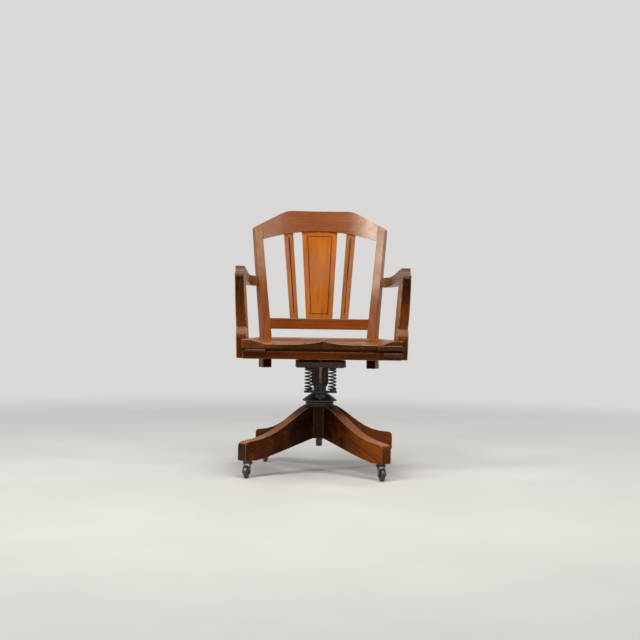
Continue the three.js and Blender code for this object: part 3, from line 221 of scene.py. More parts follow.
def wood(name, deep, middle, pale, wear_and_highlight_share=0.8, wear_and_highlight_colour=BARE_OAK, zones=(), gloss=0.3, shine=0.12, sheens=()):
    """Varnished oak along the attribute grain. A zone is a colour, a strength and the ramps that bound it;
    a sheen is a fall of the roughness and its ramps. A ramp runs along X, Y or Z, along the radius R
    from the swivel axis, or over how far the surface faces to a SIDE, to the BACK or UP."""
    g = Graph(name)
    grain = g.attribute("grain", "Vector")
    drift = g.noise(g.scaled(grain, DRIFT_SCALE), detail=3).node.outputs["Color"]
    bend = g.add("ShaderNodeVectorMath", {"operation": "MULTIPLY_ADD"}, i0=drift, i1=DRIFT_REACH, i2=grain)
    rings = g.add("ShaderNodeTexWave", {"wave_type": "RINGS", "rings_direction": "X", "wave_profile": "SAW"},
                  output="Fac", Vector=g.scaled(bend, RING_SCALE), **RINGS)
    streaks = g.noise(g.scaled(bend, STREAK_SCALE), detail=3, roughness=0.62)
    pores = g.noise(g.scaled(bend, PORE_SCALE), detail=2, roughness=0.6)
    broad = g.noise(g.scaled(bend, BROAD_SCALE), detail=4, roughness=0.6)
    flecks = g.noise(g.scaled(grain, FLECK_SCALE), detail=2)

    tone = g.sum(g.product(streaks, STREAK_SHARE), g.product(rings, RING_SHARE),
                 g.product(broad, BROAD_SHARE), TONE_SHIFT)
    colour = g.blend(g.span(tone, *MIDDLE_TONES), deep, middle)
    colour = g.blend(g.span(tone, *PALE_TONES), colour, pale)
    pore = g.span(pores, *PORE_SPAN)
    colour = g.blend(g.product(pore, PORE_SHARE), colour, toned(deep, PORE_TONE))
    colour = g.blend(g.product(g.span(flecks, *FLECK_SPAN), FLECK_SHARE), colour, pale)

    place = g.place()
    patches = g.noise(place, scale=PATCH_SCALE, detail=5, roughness=0.68)
    x, y, z = g.parts(place)
    to_side, to_back, to_top = g.parts(g.add("ShaderNodeTexCoord", output="Normal"))
    measures = {"X": x, "Y": y, "Z": z, "R": g.length(g.scaled(place, (1, 1, 0))),
                "SIDE": g.add("ShaderNodeMath", {"operation": "ABSOLUTE"}, i0=to_side),
                "BACK": to_back, "UP": to_top}
    for tint, strength, ramps in zones:
        share = g.product(g.span(patches, *ZONE_PATCHES), strength)
        colour = g.blend(g.within(share, measures, ramps), colour, tint)
    # Edges exposed to wear turn to a lighter oak; on the legs' arrises and the seat's lip that colour is
    # lightened as painted highlight too.
    edge = g.product(g.attribute("wear"), g.span(patches, *WEAR_PATCHES), wear_and_highlight_share)
    colour = g.blend(edge, colour, wear_and_highlight_colour)
    # The faces inside cuts turn near-black: grime and painted shade in the recess.
    colour = g.blend(g.product(g.attribute("groove"), GROOVE_SHARE), colour, GRIME_AND_SHADE)

    smudge = g.noise(place, scale=SMUDGE_SCALE, detail=4, roughness=0.6)
    smooth_end, rough_end = (gloss + change for change in SMUDGE_ROUGHNESS)
    rough = g.sum(g.span(smudge, *SMUDGE_SPAN, smooth_end, rough_end), g.product(edge, WORN_ROUGHNESS))
    for fall, ramps in sheens:
        rough = g.sum(g.within(-fall, measures, ramps), rough)
    g.surface(Base_Color=colour, Roughness=rough, Specular_IOR_Level=shine)
    g.bump(g.sum(g.product(pore, PORE_RELIEF), g.product(streaks, STREAK_RELIEF)), *OAK_BUMP)
    return g.material


# Iron, steel and rubber
TOOTH_SCALE = 620.0
RUST_SCALE = 42.0
CLOUD_SCALE = 9.0
RUST_PATCHES = (0.5, 0.68)
RUST_CLOUDS = (0.35, 0.62, 0.3, 1.0)
IRON_SHADES = (0.7, 1.35)
IRON_WEAR = (0.38, 0.6, 0.1, 0.6)
BARE_IRON = (0.16, 0.15, 0.14)
IRON_SPREAD = (0.35, 0.7)
IRON_ROUGHNESS = (-0.1, 0.15)
RUST_RELIEF = 0.8
IRON_BUMP = (0.4, 0.0003)
LINE_SCALE = (120, 120, 1400)
DIRT_SCALE = 55.0
DIRT_PATCHES = (0.42, 0.7)
DIRT_METALLIC = (0.2, 0.9, 1.0, 0.4)
STEEL_SHADES = (0.8, 1.25)
STEEL_SPREAD = (0.3, 0.75)
STEEL_ROUGHNESS = (-0.06, 0.25)
STEEL_BUMP = (0.12, 0.0002)
RUBBER_SCALE = 90.0
RUBBER_DUST = (0.35, 0.7)
RUBBER_COLOURS = ((0.016, 0.016, 0.017), (0.05, 0.046, 0.042))
RUBBER_ROUGHNESS = (0.6, 0.85)
RUBBER_BUMP = (0.25, 0.0002)


def iron(name, base, rust, amount, rough=0.5, metallic=0.0):
    """Cast or painted iron with a fine tooth and rust in patches."""
    g = Graph(name)
    place = g.place()
    tooth = g.noise(place, scale=TOOTH_SCALE, detail=3, roughness=0.6)
    patches = g.noise(place, scale=RUST_SCALE, detail=5, roughness=0.68)
    cloud = g.noise(place, scale=CLOUD_SCALE, detail=3)
    rusted = g.product(g.span(patches, *RUST_PATCHES), g.span(cloud, *RUST_CLOUDS), amount)
    dark, light = (toned(base, share) for share in IRON_SHADES)
    colour = g.blend(rusted, g.blend(g.span(cloud, *NOISE_MIDDLE), dark, light), rust)
    colour = g.blend(g.product(g.attribute("wear"), g.span(patches, *IRON_WEAR)), colour, BARE_IRON)
    smooth_end, rough_end = (rough + change for change in IRON_ROUGHNESS)
    spread = g.span(patches, *IRON_SPREAD, smooth_end, rough_end)
    g.surface(Base_Color=colour, Roughness=spread, Metallic=metallic)
    g.bump(g.sum(g.product(rusted, RUST_RELIEF), tooth), *IRON_BUMP)
    return g.material


def steel(name, base, dirt, amount, rough=0.34):
    """Turned steel without paint, dulled and dirty in its hollows."""
    g = Graph(name)
    place = g.place()
    lines = g.noise(g.scaled(place, LINE_SCALE), detail=2)
    patches = g.noise(place, scale=DIRT_SCALE, detail=5, roughness=0.7)
    dirty = g.product(g.span(patches, *DIRT_PATCHES), amount)
    dark, light = (toned(base, share) for share in STEEL_SHADES)
    colour = g.blend(dirty, g.blend(g.span(lines, *NOISE_MIDDLE), dark, light), dirt)
    smooth_end, rough_end = (rough + change for change in STEEL_ROUGHNESS)
    g.surface(Base_Color=colour, Metallic=g.span(dirty, *DIRT_METALLIC),
              Roughness=g.span(patches, *STEEL_SPREAD, smooth_end, rough_end))
    g.bump(lines, *STEEL_BUMP)
    return g.material


def rubber(name):
    g = Graph(name)
    grime = g.noise(g.place(), scale=RUBBER_SCALE, detail=4, roughness=0.6)
    g.surface(Base_Color=g.blend(g.span(grime, *RUBBER_DUST), *RUBBER_COLOURS),
              Roughness=g.span(grime, *NOISE_MIDDLE, *RUBBER_ROUGHNESS))
    g.bump(grime, *RUBBER_BUMP)
    return g.material


# A near-black brown laid on as painted shade: on the seat's front face, on the posts below the seat, at the
# tops of the arm posts' fronts, and on the legs' sides and near the hub. It also darkens the legs' end
# faces.
PAINTED_SHADE = (0.012, 0.0035, 0.001)
LEG_END = 0.35  # of a leg's end face from the swivel axis
END_FACE = (LEG_END - 0.006, LEG_END - 0.0005)
# The seat's front face, darkened there as painted shade
SHADED_SEAT_FRONT = (-0.23, -0.2345)
OAKS = {
    "back": wood("oak_back", (0.13, 0.028, 0.003), (0.26, 0.066, 0.009), (0.38, 0.115, 0.02),
                 wear_and_highlight_colour=(0.66, 0.44, 0.27),
                 # Painted sheen: the crest's left end is a paler tan, and its right end a bright pale tan
                 # where a lamp's reflection lies.
                 zones=[((0.36, 0.21, 0.13), 0.5, [("X", -0.09, -0.2)]),
                        ((0.76, 0.56, 0.43), 0.9, [("X", 0.1, 0.22)])],
                 sheens=[(0.1, [("X", 0.08, 0.2)])], shine=0.3),
    "posts": wood("oak_posts", (0.15, 0.033, 0.001), (0.28, 0.067, 0.003), (0.41, 0.115, 0.01),
                  # Painted sheen: the posts' upper parts turn a pale tan, the right post's brighter and
                  # starting lower.
                  zones=[((0.42, 0.26, 0.17), 0.55, [("Z", 0.66, 0.78), ("X", -0.1, -0.2)]),
                         ((0.56, 0.39, 0.28), 0.65, [("Z", 0.61, 0.69), ("X", 0.1, 0.2)]),
                         ((0.3, 0.08, 0.006), 0.6, [("SIDE", 0.6, 0.8)]),
                         # Painted shade: the posts turn near-black below the seat.
                         (PAINTED_SHADE, 0.9, [("Z", 0.45, 0.43)])],
                  sheens=[(0.12, [("Z", 0.6, 0.8), ("X", 0.1, 0.2)])], gloss=0.36, shine=0.16),
    "slats": wood("oak_slats", (0.22, 0.06, 0.009), (0.36, 0.115, 0.022), (0.46, 0.17, 0.04),
                  wear_and_highlight_share=0.9, wear_and_highlight_colour=(0.62, 0.4, 0.25), shine=0.2),
    "panel": wood("oak_panel", (0.32, 0.08, 0.004), (0.48, 0.126, 0.006), (0.62, 0.19, 0.012),
                  wear_and_highlight_share=0.8, wear_and_highlight_colour=(0.66, 0.4, 0.2),
                  zones=[((0.36, 0.135, 0.055), 0.6, [("Z", 0.64, 0.7), ("Z", 0.84, 0.76)])]),
    "rail": wood("oak_rail", (0.12, 0.025, 0.002), (0.24, 0.053, 0.003), (0.34, 0.088, 0.007)),
    "arms": wood("oak_arms", (0.12, 0.034, 0.008), (0.22, 0.07, 0.018), (0.33, 0.115, 0.034),
                 zones=[((0.14, 0.09, 0.06), 0.9, [("Y", -0.1, -0.2)]),
                        # Painted light: the faces of the arms' rear parts that turn to the front are a
                        # lighter orange-brown.
                        ((0.42, 0.19, 0.1), 0.6, [("Y", 0.02, 0.12), ("BACK", -0.2, -0.6)])],
                 shine=0.2),
    "arm_posts": wood("oak_arm_posts", (0.09, 0.018, 0.001), (0.2, 0.043, 0.002), (0.32, 0.082, 0.006),
                      wear_and_highlight_colour=(0.62, 0.33, 0.16),
                      # Painted light: the posts' sides turn a lighter orange above the ledge.
                      zones=[((0.44, 0.155, 0.035), 0.6, [("SIDE", 0.6, 0.8), ("Z", 0.47, 0.5)]),
                             # Painted shade: the fronts darken to near-black towards the top, under the arm.
                             (PAINTED_SHADE, 0.97, [("Z", 0.55, 0.66), ("BACK", -0.3, -0.6)]),
                             # Painted shade: the posts darken from just above the seat's top downwards.
                             (PAINTED_SHADE, 0.6, [("Z", 0.49, 0.475)]),
                             ((0.28, 0.16, 0.095), 0.8,
                              [("Z", 0.54, 0.51), ("Z", 0.488, 0.498), ("Y", -0.16, -0.18)])],
                      shine=0.08),
    "seat": wood("oak_seat", (0.12, 0.031, 0.003), (0.26, 0.076, 0.009), (0.42, 0.146, 0.026),
                 # Painted highlight as well as wear: the lip's edge colour is a light warm tan.
                 wear_and_highlight_colour=(0.6, 0.36, 0.19),
                 # Painted shade: the front face is darker, and darker still everywhere but at its left end.
                 zones=[(PAINTED_SHADE, 0.55, [("Y", *SHADED_SEAT_FRONT)]),
                        (PAINTED_SHADE, 0.7, [("Y", *SHADED_SEAT_FRONT), ("X", -0.19, -0.1)])]),
    # Painted shade: the rails under the seat take a darker copy of the oak.
    "apron": wood("oak_apron_shaded", (0.05, 0.01, 0.0005), (0.11, 0.023, 0.001), (0.2, 0.046, 0.003), shine=0.08),
    "rolls": wood("oak_rolls", (0.035, 0.008, 0.001), (0.065, 0.016, 0.002), (0.11, 0.03, 0.005),
                  gloss=0.15, shine=0.22),
    "legs": wood("oak_legs", (0.1, 0.021, 0.001), (0.22, 0.047, 0.002), (0.36, 0.094, 0.006),
                 # Painted highlight as well as wear: the legs' edges take a light orange at full strength.
                 wear_and_highlight_share=1.0, wear_and_highlight_colour=(0.66, 0.36, 0.15),
                 # Painted light: the legs' top faces are a lighter orange.
                 zones=[((0.35, 0.115, 0.018), 0.55, [("UP", 0.6, 0.9)]),
                        # Painted shade: the front legs' sides near the hub, the left legs' sides, and all of
                        # each leg close to the hub darken to near-black. The last zone darkens the end
                        # faces.
                        (PAINTED_SHADE, 0.97, [("R", 0.28, 0.13), ("UP", 0.75, 0.35), ("Y", 0.08, 0.02)]),
                        (PAINTED_SHADE, 0.8, [("X", 0.02, -0.06), ("UP", 0.75, 0.35)]),
                        (PAINTED_SHADE, 0.8, [("R", 0.14, 0.08)]),
                        (PAINTED_SHADE, 0.6, [("R", *END_FACE)])],
                 shine=0.1),
    # Painted shade: the hub's oak is near-black and shows little wear.
    "hub": wood("oak_hub_shaded", (0.012, 0.004, 0.001), (0.028, 0.008, 0.001), (0.055, 0.016, 0.003),
                wear_and_highlight_share=0.12, shine=0.06),
}
METALS = {
    "iron": iron("black_iron", (0.03, 0.028, 0.027), (0.13, 0.05, 0.025), 0.35),
    "iron_rusty": iron("rusty_iron", (0.05, 0.032, 0.026), (0.2, 0.075, 0.035), 0.8, 0.62),
    "spring": iron("spring_steel", (0.06, 0.052, 0.048), (0.17, 0.075, 0.04), 0.6, 0.42, 0.7),
    "steel": steel("steel", (0.11, 0.104, 0.098), (0.025, 0.02, 0.017), 0.8, 0.28),
    "screw": steel("screw_steel", (0.2, 0.18, 0.165), (0.05, 0.035, 0.025), 0.8, 0.42),
    "rubber": rubber("rubber"),
}

# Meshes
WELD = 1e-6
FLAT_ANGLE = 0.6
EDGE_ANGLE = 28
SHARP_ANGLE = 52
INWARD_TURN = 0.02  # in radians, at the edges of a point that is no longer exposed to wear
GROOVE_TURN = 0.6  # in radians, at the edges inside a cut
BEVEL_STEPS = 3
LEAST_SIDE = 0.1
GRAIN_STEPS = (0.37, 0.113, 0.071)  # from one piece's place in the grain to the next one's
GRAIN_SPANS = (math.inf, 0.5, 0.3)
GRAIN_STARTS = (0, 0.04, 0.09)


def low(node):
    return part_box(node)[0]


def high(node):
    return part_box(node)[1]


def centre(node):
    return (low(node) + high(node)) / 2


def dress(node, suffix, bm, look, replaces=True):
    """Makes a piece that rides with a CAD node, in its place or beside it."""
    name = f"{node}_{suffix}"
    mesh = bpy.data.meshes.new(name)
    bm.to_mesh(mesh)
    bm.free()
    mesh.shade_smooth()
    mesh.set_sharp_from_angle(angle=math.radians(SHARP_ANGLE))
    mesh.materials.append(look)
    piece = bpy.data.objects.new(name, mesh)
    bpy.context.scene.collection.objects.link(piece)
    weighted = piece.modifiers.new("weighted_normals", "WEIGHTED_NORMAL")
    weighted.keep_sharp = True
    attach(piece, BODY_OF[node])
    if replaces:
        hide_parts(node)
    return piece


def node_bmesh(node):
    """A CAD node's solid with its flat faces whole again."""
    bm = bmesh.new()
    bm.from_mesh(frame["nodes"][node].data)
    bmesh.ops.remove_doubles(bm, verts=bm.verts, dist=WELD)
    flat = math.radians(FLAT_ANGLE)
    bmesh.ops.dissolve_limit(bm, angle_limit=flat, verts=bm.verts, edges=bm.edges)
    return bm


def bisect(bm, point, normal, **settings):
    parts = bm.verts[:] + bm.edges[:] + bm.faces[:]
    bmesh.ops.bisect_plane(bm, geom=parts, plane_co=point, plane_no=normal, **settings)


def join_rings(bm, one, two):
    for i in range(len(one)):
        j = (i + 1) % len(one)
        bm.faces.new((one[i], one[j], two[j], two[i]))


def tube(rings):
    """A closed skin over rings of points, with flat ends."""
    bm = bmesh.new()
    loops = [[bm.verts.new(p) for p in ring] for ring in rings]
    for one, two in zip(loops, loops[1:]):
        join_rings(bm, one, two)
    bm.faces.new(reversed(loops[0]))
    bm.faces.new(loops[-1])
    bmesh.ops.recalc_face_normals(bm, faces=bm.faces)
    return bm


def soften(bm, rounding, angle=EDGE_ANGLE):
    """Rounds the edges, and writes how exposed each point is to wear."""
    groove = bm.faces.layers.float.get("groove")
    keen = [e for e in bm.edges if len(e.link_faces) == 2 and e.calc_face_angle(0) > math.radians(angle)
            and not (groove and any(f[groove] for f in e.link_faces))]
    made = bmesh.ops.bevel(bm, geom=keen, offset=rounding, offset_type="OFFSET", segments=BEVEL_STEPS,
                           profile=0.5, affect="EDGES", clamp_overlap=True)
    rounded = set(made["faces"])
    wear = bm.verts.layers.float.new("wear")
    for v in bm.verts:
        inner = all(f in rounded for f in v.link_faces)
        convex = all(e.calc_face_angle_signed(0) > -INWARD_TURN for e in v.link_edges
                     if len(e.link_faces) == 2)
        v[wear] = 1.0 if inner and convex else 0.0


def lay_grain(bm, along, up=(0, 0, 1), seed=0):
    """Writes each point's place along and across the grain."""
    along = Vector(along).normalized()
    side = along.cross(Vector(up))
    if side.length < LEAST_SIDE:
        side = along.cross(Vector((0, 1, 0)))
    side.normalize()
    over = side.cross(along)
    shift = Vector([seed * step % span + start
                    for step, span, start in zip(GRAIN_STEPS, GRAIN_SPANS, GRAIN_STARTS)])
    grain = bm.verts.layers.float_vector.new("grain")
    for v in bm.verts:
        v[grain] = Vector((v.co.dot(along), v.co.dot(side), v.co.dot(over))) + shift


def mark_grooves(bm, _node):
    """Marks the faces of cuts, which hold a dark line."""
    groove = bm.faces.layers.float.new("groove")
    for f in bm.faces:
        turns = [e.calc_face_angle_signed(0) for e in f.edges if len(e.link_faces) == 2]
        f[groove] = float(any(turn < -GROOVE_TURN for turn in turns))


def wooden(node, oak, along, rounding, up=(0, 0, 1), seed=0, shape=None):
    bm = node_bmesh(node)
    if shape:
        shape(bm, node)
    soften(bm, rounding)
    lay_grain(bm, along, up, seed)
    return dress(node, "wood", bm, OAKS[oak])


def metal(node, look, rounding, angle=EDGE_ANGLE):
    bm = node_bmesh(node)
    soften(bm, rounding, angle)
    return dress(node, "metal", bm, METALS[look])


# Camera, stage and lamps
def add_camera():
    data = bpy.data.cameras.new("camera")
    data.sensor_width = SENSOR_WIDTH
    data.lens = SENSOR_WIDTH * FOCAL_PIXELS / IMAGE_PIXELS
    camera = bpy.data.objects.new("camera", data)
    bpy.context.scene.collection.objects.link(camera)
    turn = Matrix.Rotation(math.radians(CAMERA_TURN), 4, "Z")
    stand = Matrix.Translation((0, -CAMERA_DISTANCE, CAMERA_HEIGHT))
    aside = Matrix.Rotation(AXIS_PIXELS_ASIDE / FOCAL_PIXELS, 4, "Z")
    level = Matrix.Rotation(math.pi / 2, 4, "X")
    roll = Matrix.Rotation(math.radians(CAMERA_ROLL), 4, "Z")
    camera.matrix_world = turn @ stand @ aside @ level @ roll
    bpy.context.scene.camera = camera


def stage_material():
    """A floor that turns to a plain wall further out, for rays that see it."""
    g = Graph("studio_floor")
    place = g.place()
    cloud = g.noise(place, scale=2.2, detail=4, roughness=0.6)
    dim, lit = (toned(FLOOR_COLOUR, share) for share in FLOOR_SHADES)
    g.surface(Base_Color=g.blend(g.span(cloud, *NOISE_MIDDLE), dim, lit), Roughness=0.8)
    seen = g.add("ShaderNodeLightPath").node.outputs
    rays = [seen[ray] for ray in ("Is Camera Ray", "Is Glossy Ray", "Is Transmission Ray")]
    share = g.product(g.span(g.length(place), *WALL_FADE), g.sum(*rays))
    wall = g.add("ShaderNodeEmission", Color=WALL_COLOUR)
    mixed = g.add("ShaderNodeMixShader", i0=share, i1=g.shader.outputs[0], i2=wall)
    g.tree.links.new(mixed, g.tree.nodes["Material Output"].inputs["Surface"])
    return g.material


def add_stage():
    flat = STAGE_RADIUS - STAGE_CURVE
    profile = [(flat * i / STAGE_STEPS, 0) for i in range(1, STAGE_STEPS + 1)]
    for i in range(1, STAGE_STEPS + 1):
        angle = math.pi / 2 * i / STAGE_STEPS
        profile.append((flat + STAGE_CURVE * math.sin(angle), STAGE_CURVE * (1 - math.cos(angle))))
    profile.append((STAGE_RADIUS, STAGE_HEIGHT))
    turns = [2 * math.pi * i / STAGE_SIDES for i in range(STAGE_SIDES)]
    bm = bmesh.new()
    rings = [[bm.verts.new((radius * math.cos(t), radius * math.sin(t), z)) for t in turns]
             for radius, z in profile]
    bm.faces.new(rings[0])
    for inner, outer in zip(rings, rings[1:]):
        for i in range(STAGE_SIDES):
            j = (i + 1) % STAGE_SIDES
            bm.faces.new((inner[i], outer[i], outer[j], inner[j]))
    mesh = bpy.data.meshes.new("studio")
    bm.to_mesh(mesh)
    bm.free()
    mesh.shade_smooth()
    mesh.materials.append(stage_material())
    stage = bpy.data.objects.new("studio", mesh)
    bpy.context.scene.collection.objects.link(stage)


def add_lamps():
    for i, (place, size, watts, colour) in enumerate(LAMPS):
        data = bpy.data.lights.new(f"lamp_{i}", "AREA")
        data.shape = "DISK"
        data.size = size
        data.energy = watts
        data.color = colour
        lamp = bpy.data.objects.new(f"lamp_{i}", data)
        bpy.context.scene.collection.objects.link(lamp)
        lamp.location = place
        lamp.rotation_euler = (Vector(LAMP_AIM) - Vector(place)).to_track_quat("-Z", "Y").to_euler()
    world = bpy.data.worlds.new("studio_air")
    bpy.context.scene.world = world
    world.use_nodes = True
    air = world.node_tree.nodes["Background"]
    air.inputs["Color"].default_value = (*WORLD_COLOUR, 1)
    air.inputs["Strength"].default_value = WORLD_STRENGTH
    bpy.context.scene.view_settings.view_transform = "Standard"


# Base
LEG_ANGLES = {"rear_right": 39.3, "rear_left": 129.3, "front_left": 219.3, "front_right": 309.3}
LEG_FALL = -0.42
LEG_SEED = 2
CASTER_ROUNDINGS = {"socket": 0.0005, "fork": 0.0008, "wheel": 0.0012, "axle": 0.0004}
SIDES = ["right", "left"]


def add_base():
    wooden("hub", "hub", (0, 0, 1), rounding=0.004, seed=1)
    for i, (corner, angle) in enumerate(LEG_ANGLES.items()):
        turn = math.radians(angle)
        along = (math.cos(turn), math.sin(turn), LEG_FALL)
        wooden("leg_" + corner, "legs", along, rounding=0.0045, seed=LEG_SEED + i)
        for part, rounding in CASTER_ROUNDINGS.items():
            metal(f"caster_{part}_{corner}", "steel", rounding)
    metal("guide_bush", "steel", rounding=0.0005)
    metal("hub_collar", "iron", rounding=0.001)


# Threads, knob and springs
# Shares of a pitch where a thread's crest ends, its root starts and its root ends
CREST_END = 0.3
ROOT_START = 0.45
ROOT_END = 0.85
THREAD_SIDES = 40
PITCH_STEPS = 8
FOOT_SLOPE = 2  # along the rod to the depth of its chamfer
SCREW_PITCH = 0.008
SCREW_THREAD = 0.0019
BOLT_PITCH = 0.002
BOLT_THREAD = 0.0007
BOLT_RADIUS = 0.005
BOLT_THREAD_LENGTH = 0.075
BOLT_LAP = 0.001  # the thread runs this far into the plain shank
KNOB_BORE = 0.0053
KNOB_FLUTES = 36
KNOB_FLUTE_DEPTH = 0.0009
KNOB_EDGE_SHARE = 0.2
KNOB_CORNER = (0.7, 1 / 3)  # how far out and how far in from the end the rounded edge's middle lies
FLUTE_STEPS = 8
SPRING_TURNS = 7.5
SPRING_WIRE = 0.005
SPRING_CLOSE = 0.0062
COIL_STEPS = 28
WIRE_SIDES = 12
WHEEL_EDGE_ANGLE = 40


def thread_share(turn):
    """How deep a trapezoid thread is cut at a share of its pitch."""
    turn %= 1
    if turn < CREST_END:
        return 0
    if turn < ROOT_START:
        return (turn - CREST_END) / (ROOT_START - CREST_END)
    if turn < ROOT_END:
        return 1
    return (1 - turn) / (1 - ROOT_END)


def threaded(x, y, radius, depth, pitch, start, end):
    """A threaded rod along z from start to end, chamfered at its foot."""
    steps = round((end - start) / pitch * PITCH_STEPS)
    rings = []
    for k in range(steps + 1):
        z = mix(start, end, k / steps)
        foot = max(0, 1 - (z - start) / (FOOT_SLOPE * depth)) * depth
        ring = []
        for i in range(THREAD_SIDES):
            cut = depth * thread_share(z / pitch - i / THREAD_SIDES)
            r = radius - max(cut, foot)
            angle = 2 * math.pi * i / THREAD_SIDES
            ring.append((x + r * math.cos(angle), y + r * math.sin(angle), z))
        rings.append(ring)
    return tube(rings)


def add_screw():
    bottom, top = low("height_screw"), high("height_screw")
    radius = (top.x - bottom.x) / 2
    bm = threaded(0, 0, radius, SCREW_THREAD, SCREW_PITCH, bottom.z, top.z)
    dress("height_screw", "threaded", bm, METALS["screw"])


def add_bolt():
    """The bolt's plain shank and head, and its threaded length as a piece beside them."""
    node = "tension_bolt"
    start = low(node).z
    end = start + BOLT_THREAD_LENGTH
    bm = node_bmesh(node)
    bisect(bm, (0, 0, end), (0, 0, 1), clear_inner=True)
    bmesh.ops.holes_fill(bm, edges=[e for e in bm.edges if e.is_boundary])
    soften(bm, rounding=0.0008)
    dress(node, "metal", bm, METALS["screw"])
    middle = centre(node)
    bm = threaded(middle.x, middle.y, BOLT_RADIUS, BOLT_THREAD, BOLT_PITCH, start, end + BOLT_LAP)
    dress(node, "thread", bm, METALS["screw"], replaces=False)


def add_knob():
    """The knob, its rim fluted for a grip."""
    node = "tension_knob"
    bottom, top, middle = low(node), high(node), centre(node)
    rim = (top.x - bottom.x) / 2
    edge = (top.z - bottom.z) * KNOB_EDGE_SHARE
    out, inward = KNOB_CORNER
    sides = KNOB_FLUTES * FLUTE_STEPS
    bm = bmesh.new()
    loops = []
    for k in range(sides):
        angle = 2 * math.pi * k / sides
        grip = rim - KNOB_FLUTE_DEPTH * (0.5 - 0.5 * math.cos(KNOB_FLUTES * angle)) ** 2
        corner = mix(rim - edge, grip, out)
        profile = [(KNOB_BORE, bottom.z), (rim - edge, bottom.z), (corner, bottom.z + edge * inward),
                   (grip, bottom.z + edge), (grip, top.z - edge), (corner, top.z - edge * inward),
                   (rim - edge, top.z), (KNOB_BORE, top.z)]
        loops.append([bm.verts.new((middle.x + r * math.cos(angle), middle.y + r * math.sin(angle), z))
                      for r, z in profile])
    for one, two in zip(loops, loops[1:] + loops[:1]):
        join_rings(bm, one, two)
    bmesh.ops.recalc_face_normals(bm, faces=bm.faces)
    dress(node, "fluted", bm, METALS["iron"])


def spring_middle(turn, length):
    """The height of the wire's middle line, its end turns wound close."""
    free = length - SPRING_WIRE - 2 * SPRING_CLOSE
    if turn < 1:
        climb = SPRING_CLOSE * turn
    elif turn > SPRING_TURNS - 1:
        climb = SPRING_CLOSE + free + SPRING_CLOSE * (turn - SPRING_TURNS + 1)
    else:
        climb = SPRING_CLOSE + free * (turn - 1) / (SPRING_TURNS - 2)
    return SPRING_WIRE / 2 + climb


def add_spring(side):
    node = "tilt_spring_" + side
    bottom, top, middle = low(node), high(node), centre(node)
    coil = (top.y - bottom.y - SPRING_WIRE) / 2
    length = top.z - bottom.z
    rings = []
    for k in range(round(SPRING_TURNS * COIL_STEPS) + 1):
        turn = k / COIL_STEPS
        out = Vector((math.cos(2 * math.pi * turn), math.sin(2 * math.pi * turn), 0))
        core = Vector((middle.x, middle.y, bottom.z + spring_middle(turn, length))) + out * coil
        ring = []
        for i in range(WIRE_SIDES):
            angle = 2 * math.pi * i / WIRE_SIDES
            ring.append(core + SPRING_WIRE / 2 * (out * math.cos(angle) + Vector((0, 0, math.sin(angle)))))
        rings.append(ring)
    piece = dress(node, "coil", tube(rings), METALS["spring"])
    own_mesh(piece)


def add_column():
    metal("thrust_washer", "steel", rounding=0.0004)
    metal("handwheel", "iron", rounding=0.001, angle=WHEEL_EDGE_ANGLE)
    metal("tilt_yoke", "iron_rusty", rounding=0.0015)
    metal("spring_plate", "iron", rounding=0.001)
    metal("pivot_pin", "steel", rounding=0.0008)
    metal("tension_cross_bar", "steel", rounding=0.0006)
    add_screw()
    add_bolt()
    add_knob()
    for side in SIDES:
        add_spring(side)
        metal("rest_buffer_" + side, "rubber", rounding=0.0008)
        metal("seat_iron_" + side, "iron", rounding=0.0012)


# Seat plank
SEAT_BACK_HALF = 0.233
SEAT_ROUND = 0.005
SCOOP_DEPTH = 0.0145
SCOOP_WIDTH_SHARE = 0.908
SCOOP_POMMEL_SHARE = 0.55
SCOOP_SIDE_SHARE = 0.25
POMMEL_LENGTH_SHARE = 0.45
SCOOP_FADE = (0.58, 0.93)
SEAT_COLUMNS = 128
SEAT_ROWS = 72
ROUND_STEPS = 6
RIM_WEAR_RISE = 1.6  # how fast wear comes and goes over the rounded rim, where the band is lightened as painted highlight too
RIM_WEAR_FALL = 2.2
PLANK_SEED = 11


def scoop(x, along, half):
    """How far the seat's top is hollowed: two scoops at the front that join into one dish."""
    across = abs(x) / (half * SCOOP_WIDTH_SHARE)
    if across >= 1:
        return 0
    dished = smooth((1 - across) / SCOOP_SIDE_SHARE)
    ridged = math.sin(math.pi * across) ** SCOOP_POMMEL_SHARE if across < 0.5 else dished
    pommel = 1 - smooth(along / POMMEL_LENGTH_SHARE)
    start, end = SCOOP_FADE
    fade = 1 - smooth((along - start) / (end - start))
    return SCOOP_DEPTH * fade * mix(dished, ridged, pommel)


def spaced(count, length):
    """Shares from 0 to 1, close together over the rounding at both ends."""
    arc = [SEAT_ROUND * (1 - math.cos(math.pi / 2 * i / ROUND_STEPS)) / length for i in range(ROUND_STEPS)]
    edge = SEAT_ROUND / length
    inner = [mix(edge, 1 - edge, i / count) for i in range(count + 1)]
    return arc + inner + [1 - share for share in reversed(arc)]


def edge_fall(to_side, to_end):
    """How far the rounded rim falls at a point so far from the plank's nearest side and end."""
    off = math.hypot(max(SEAT_ROUND - to_side, 0), max(SEAT_ROUND - to_end, 0))
    return SEAT_ROUND - math.sqrt(max(SEAT_ROUND ** 2 - min(off, SEAT_ROUND) ** 2, 0))


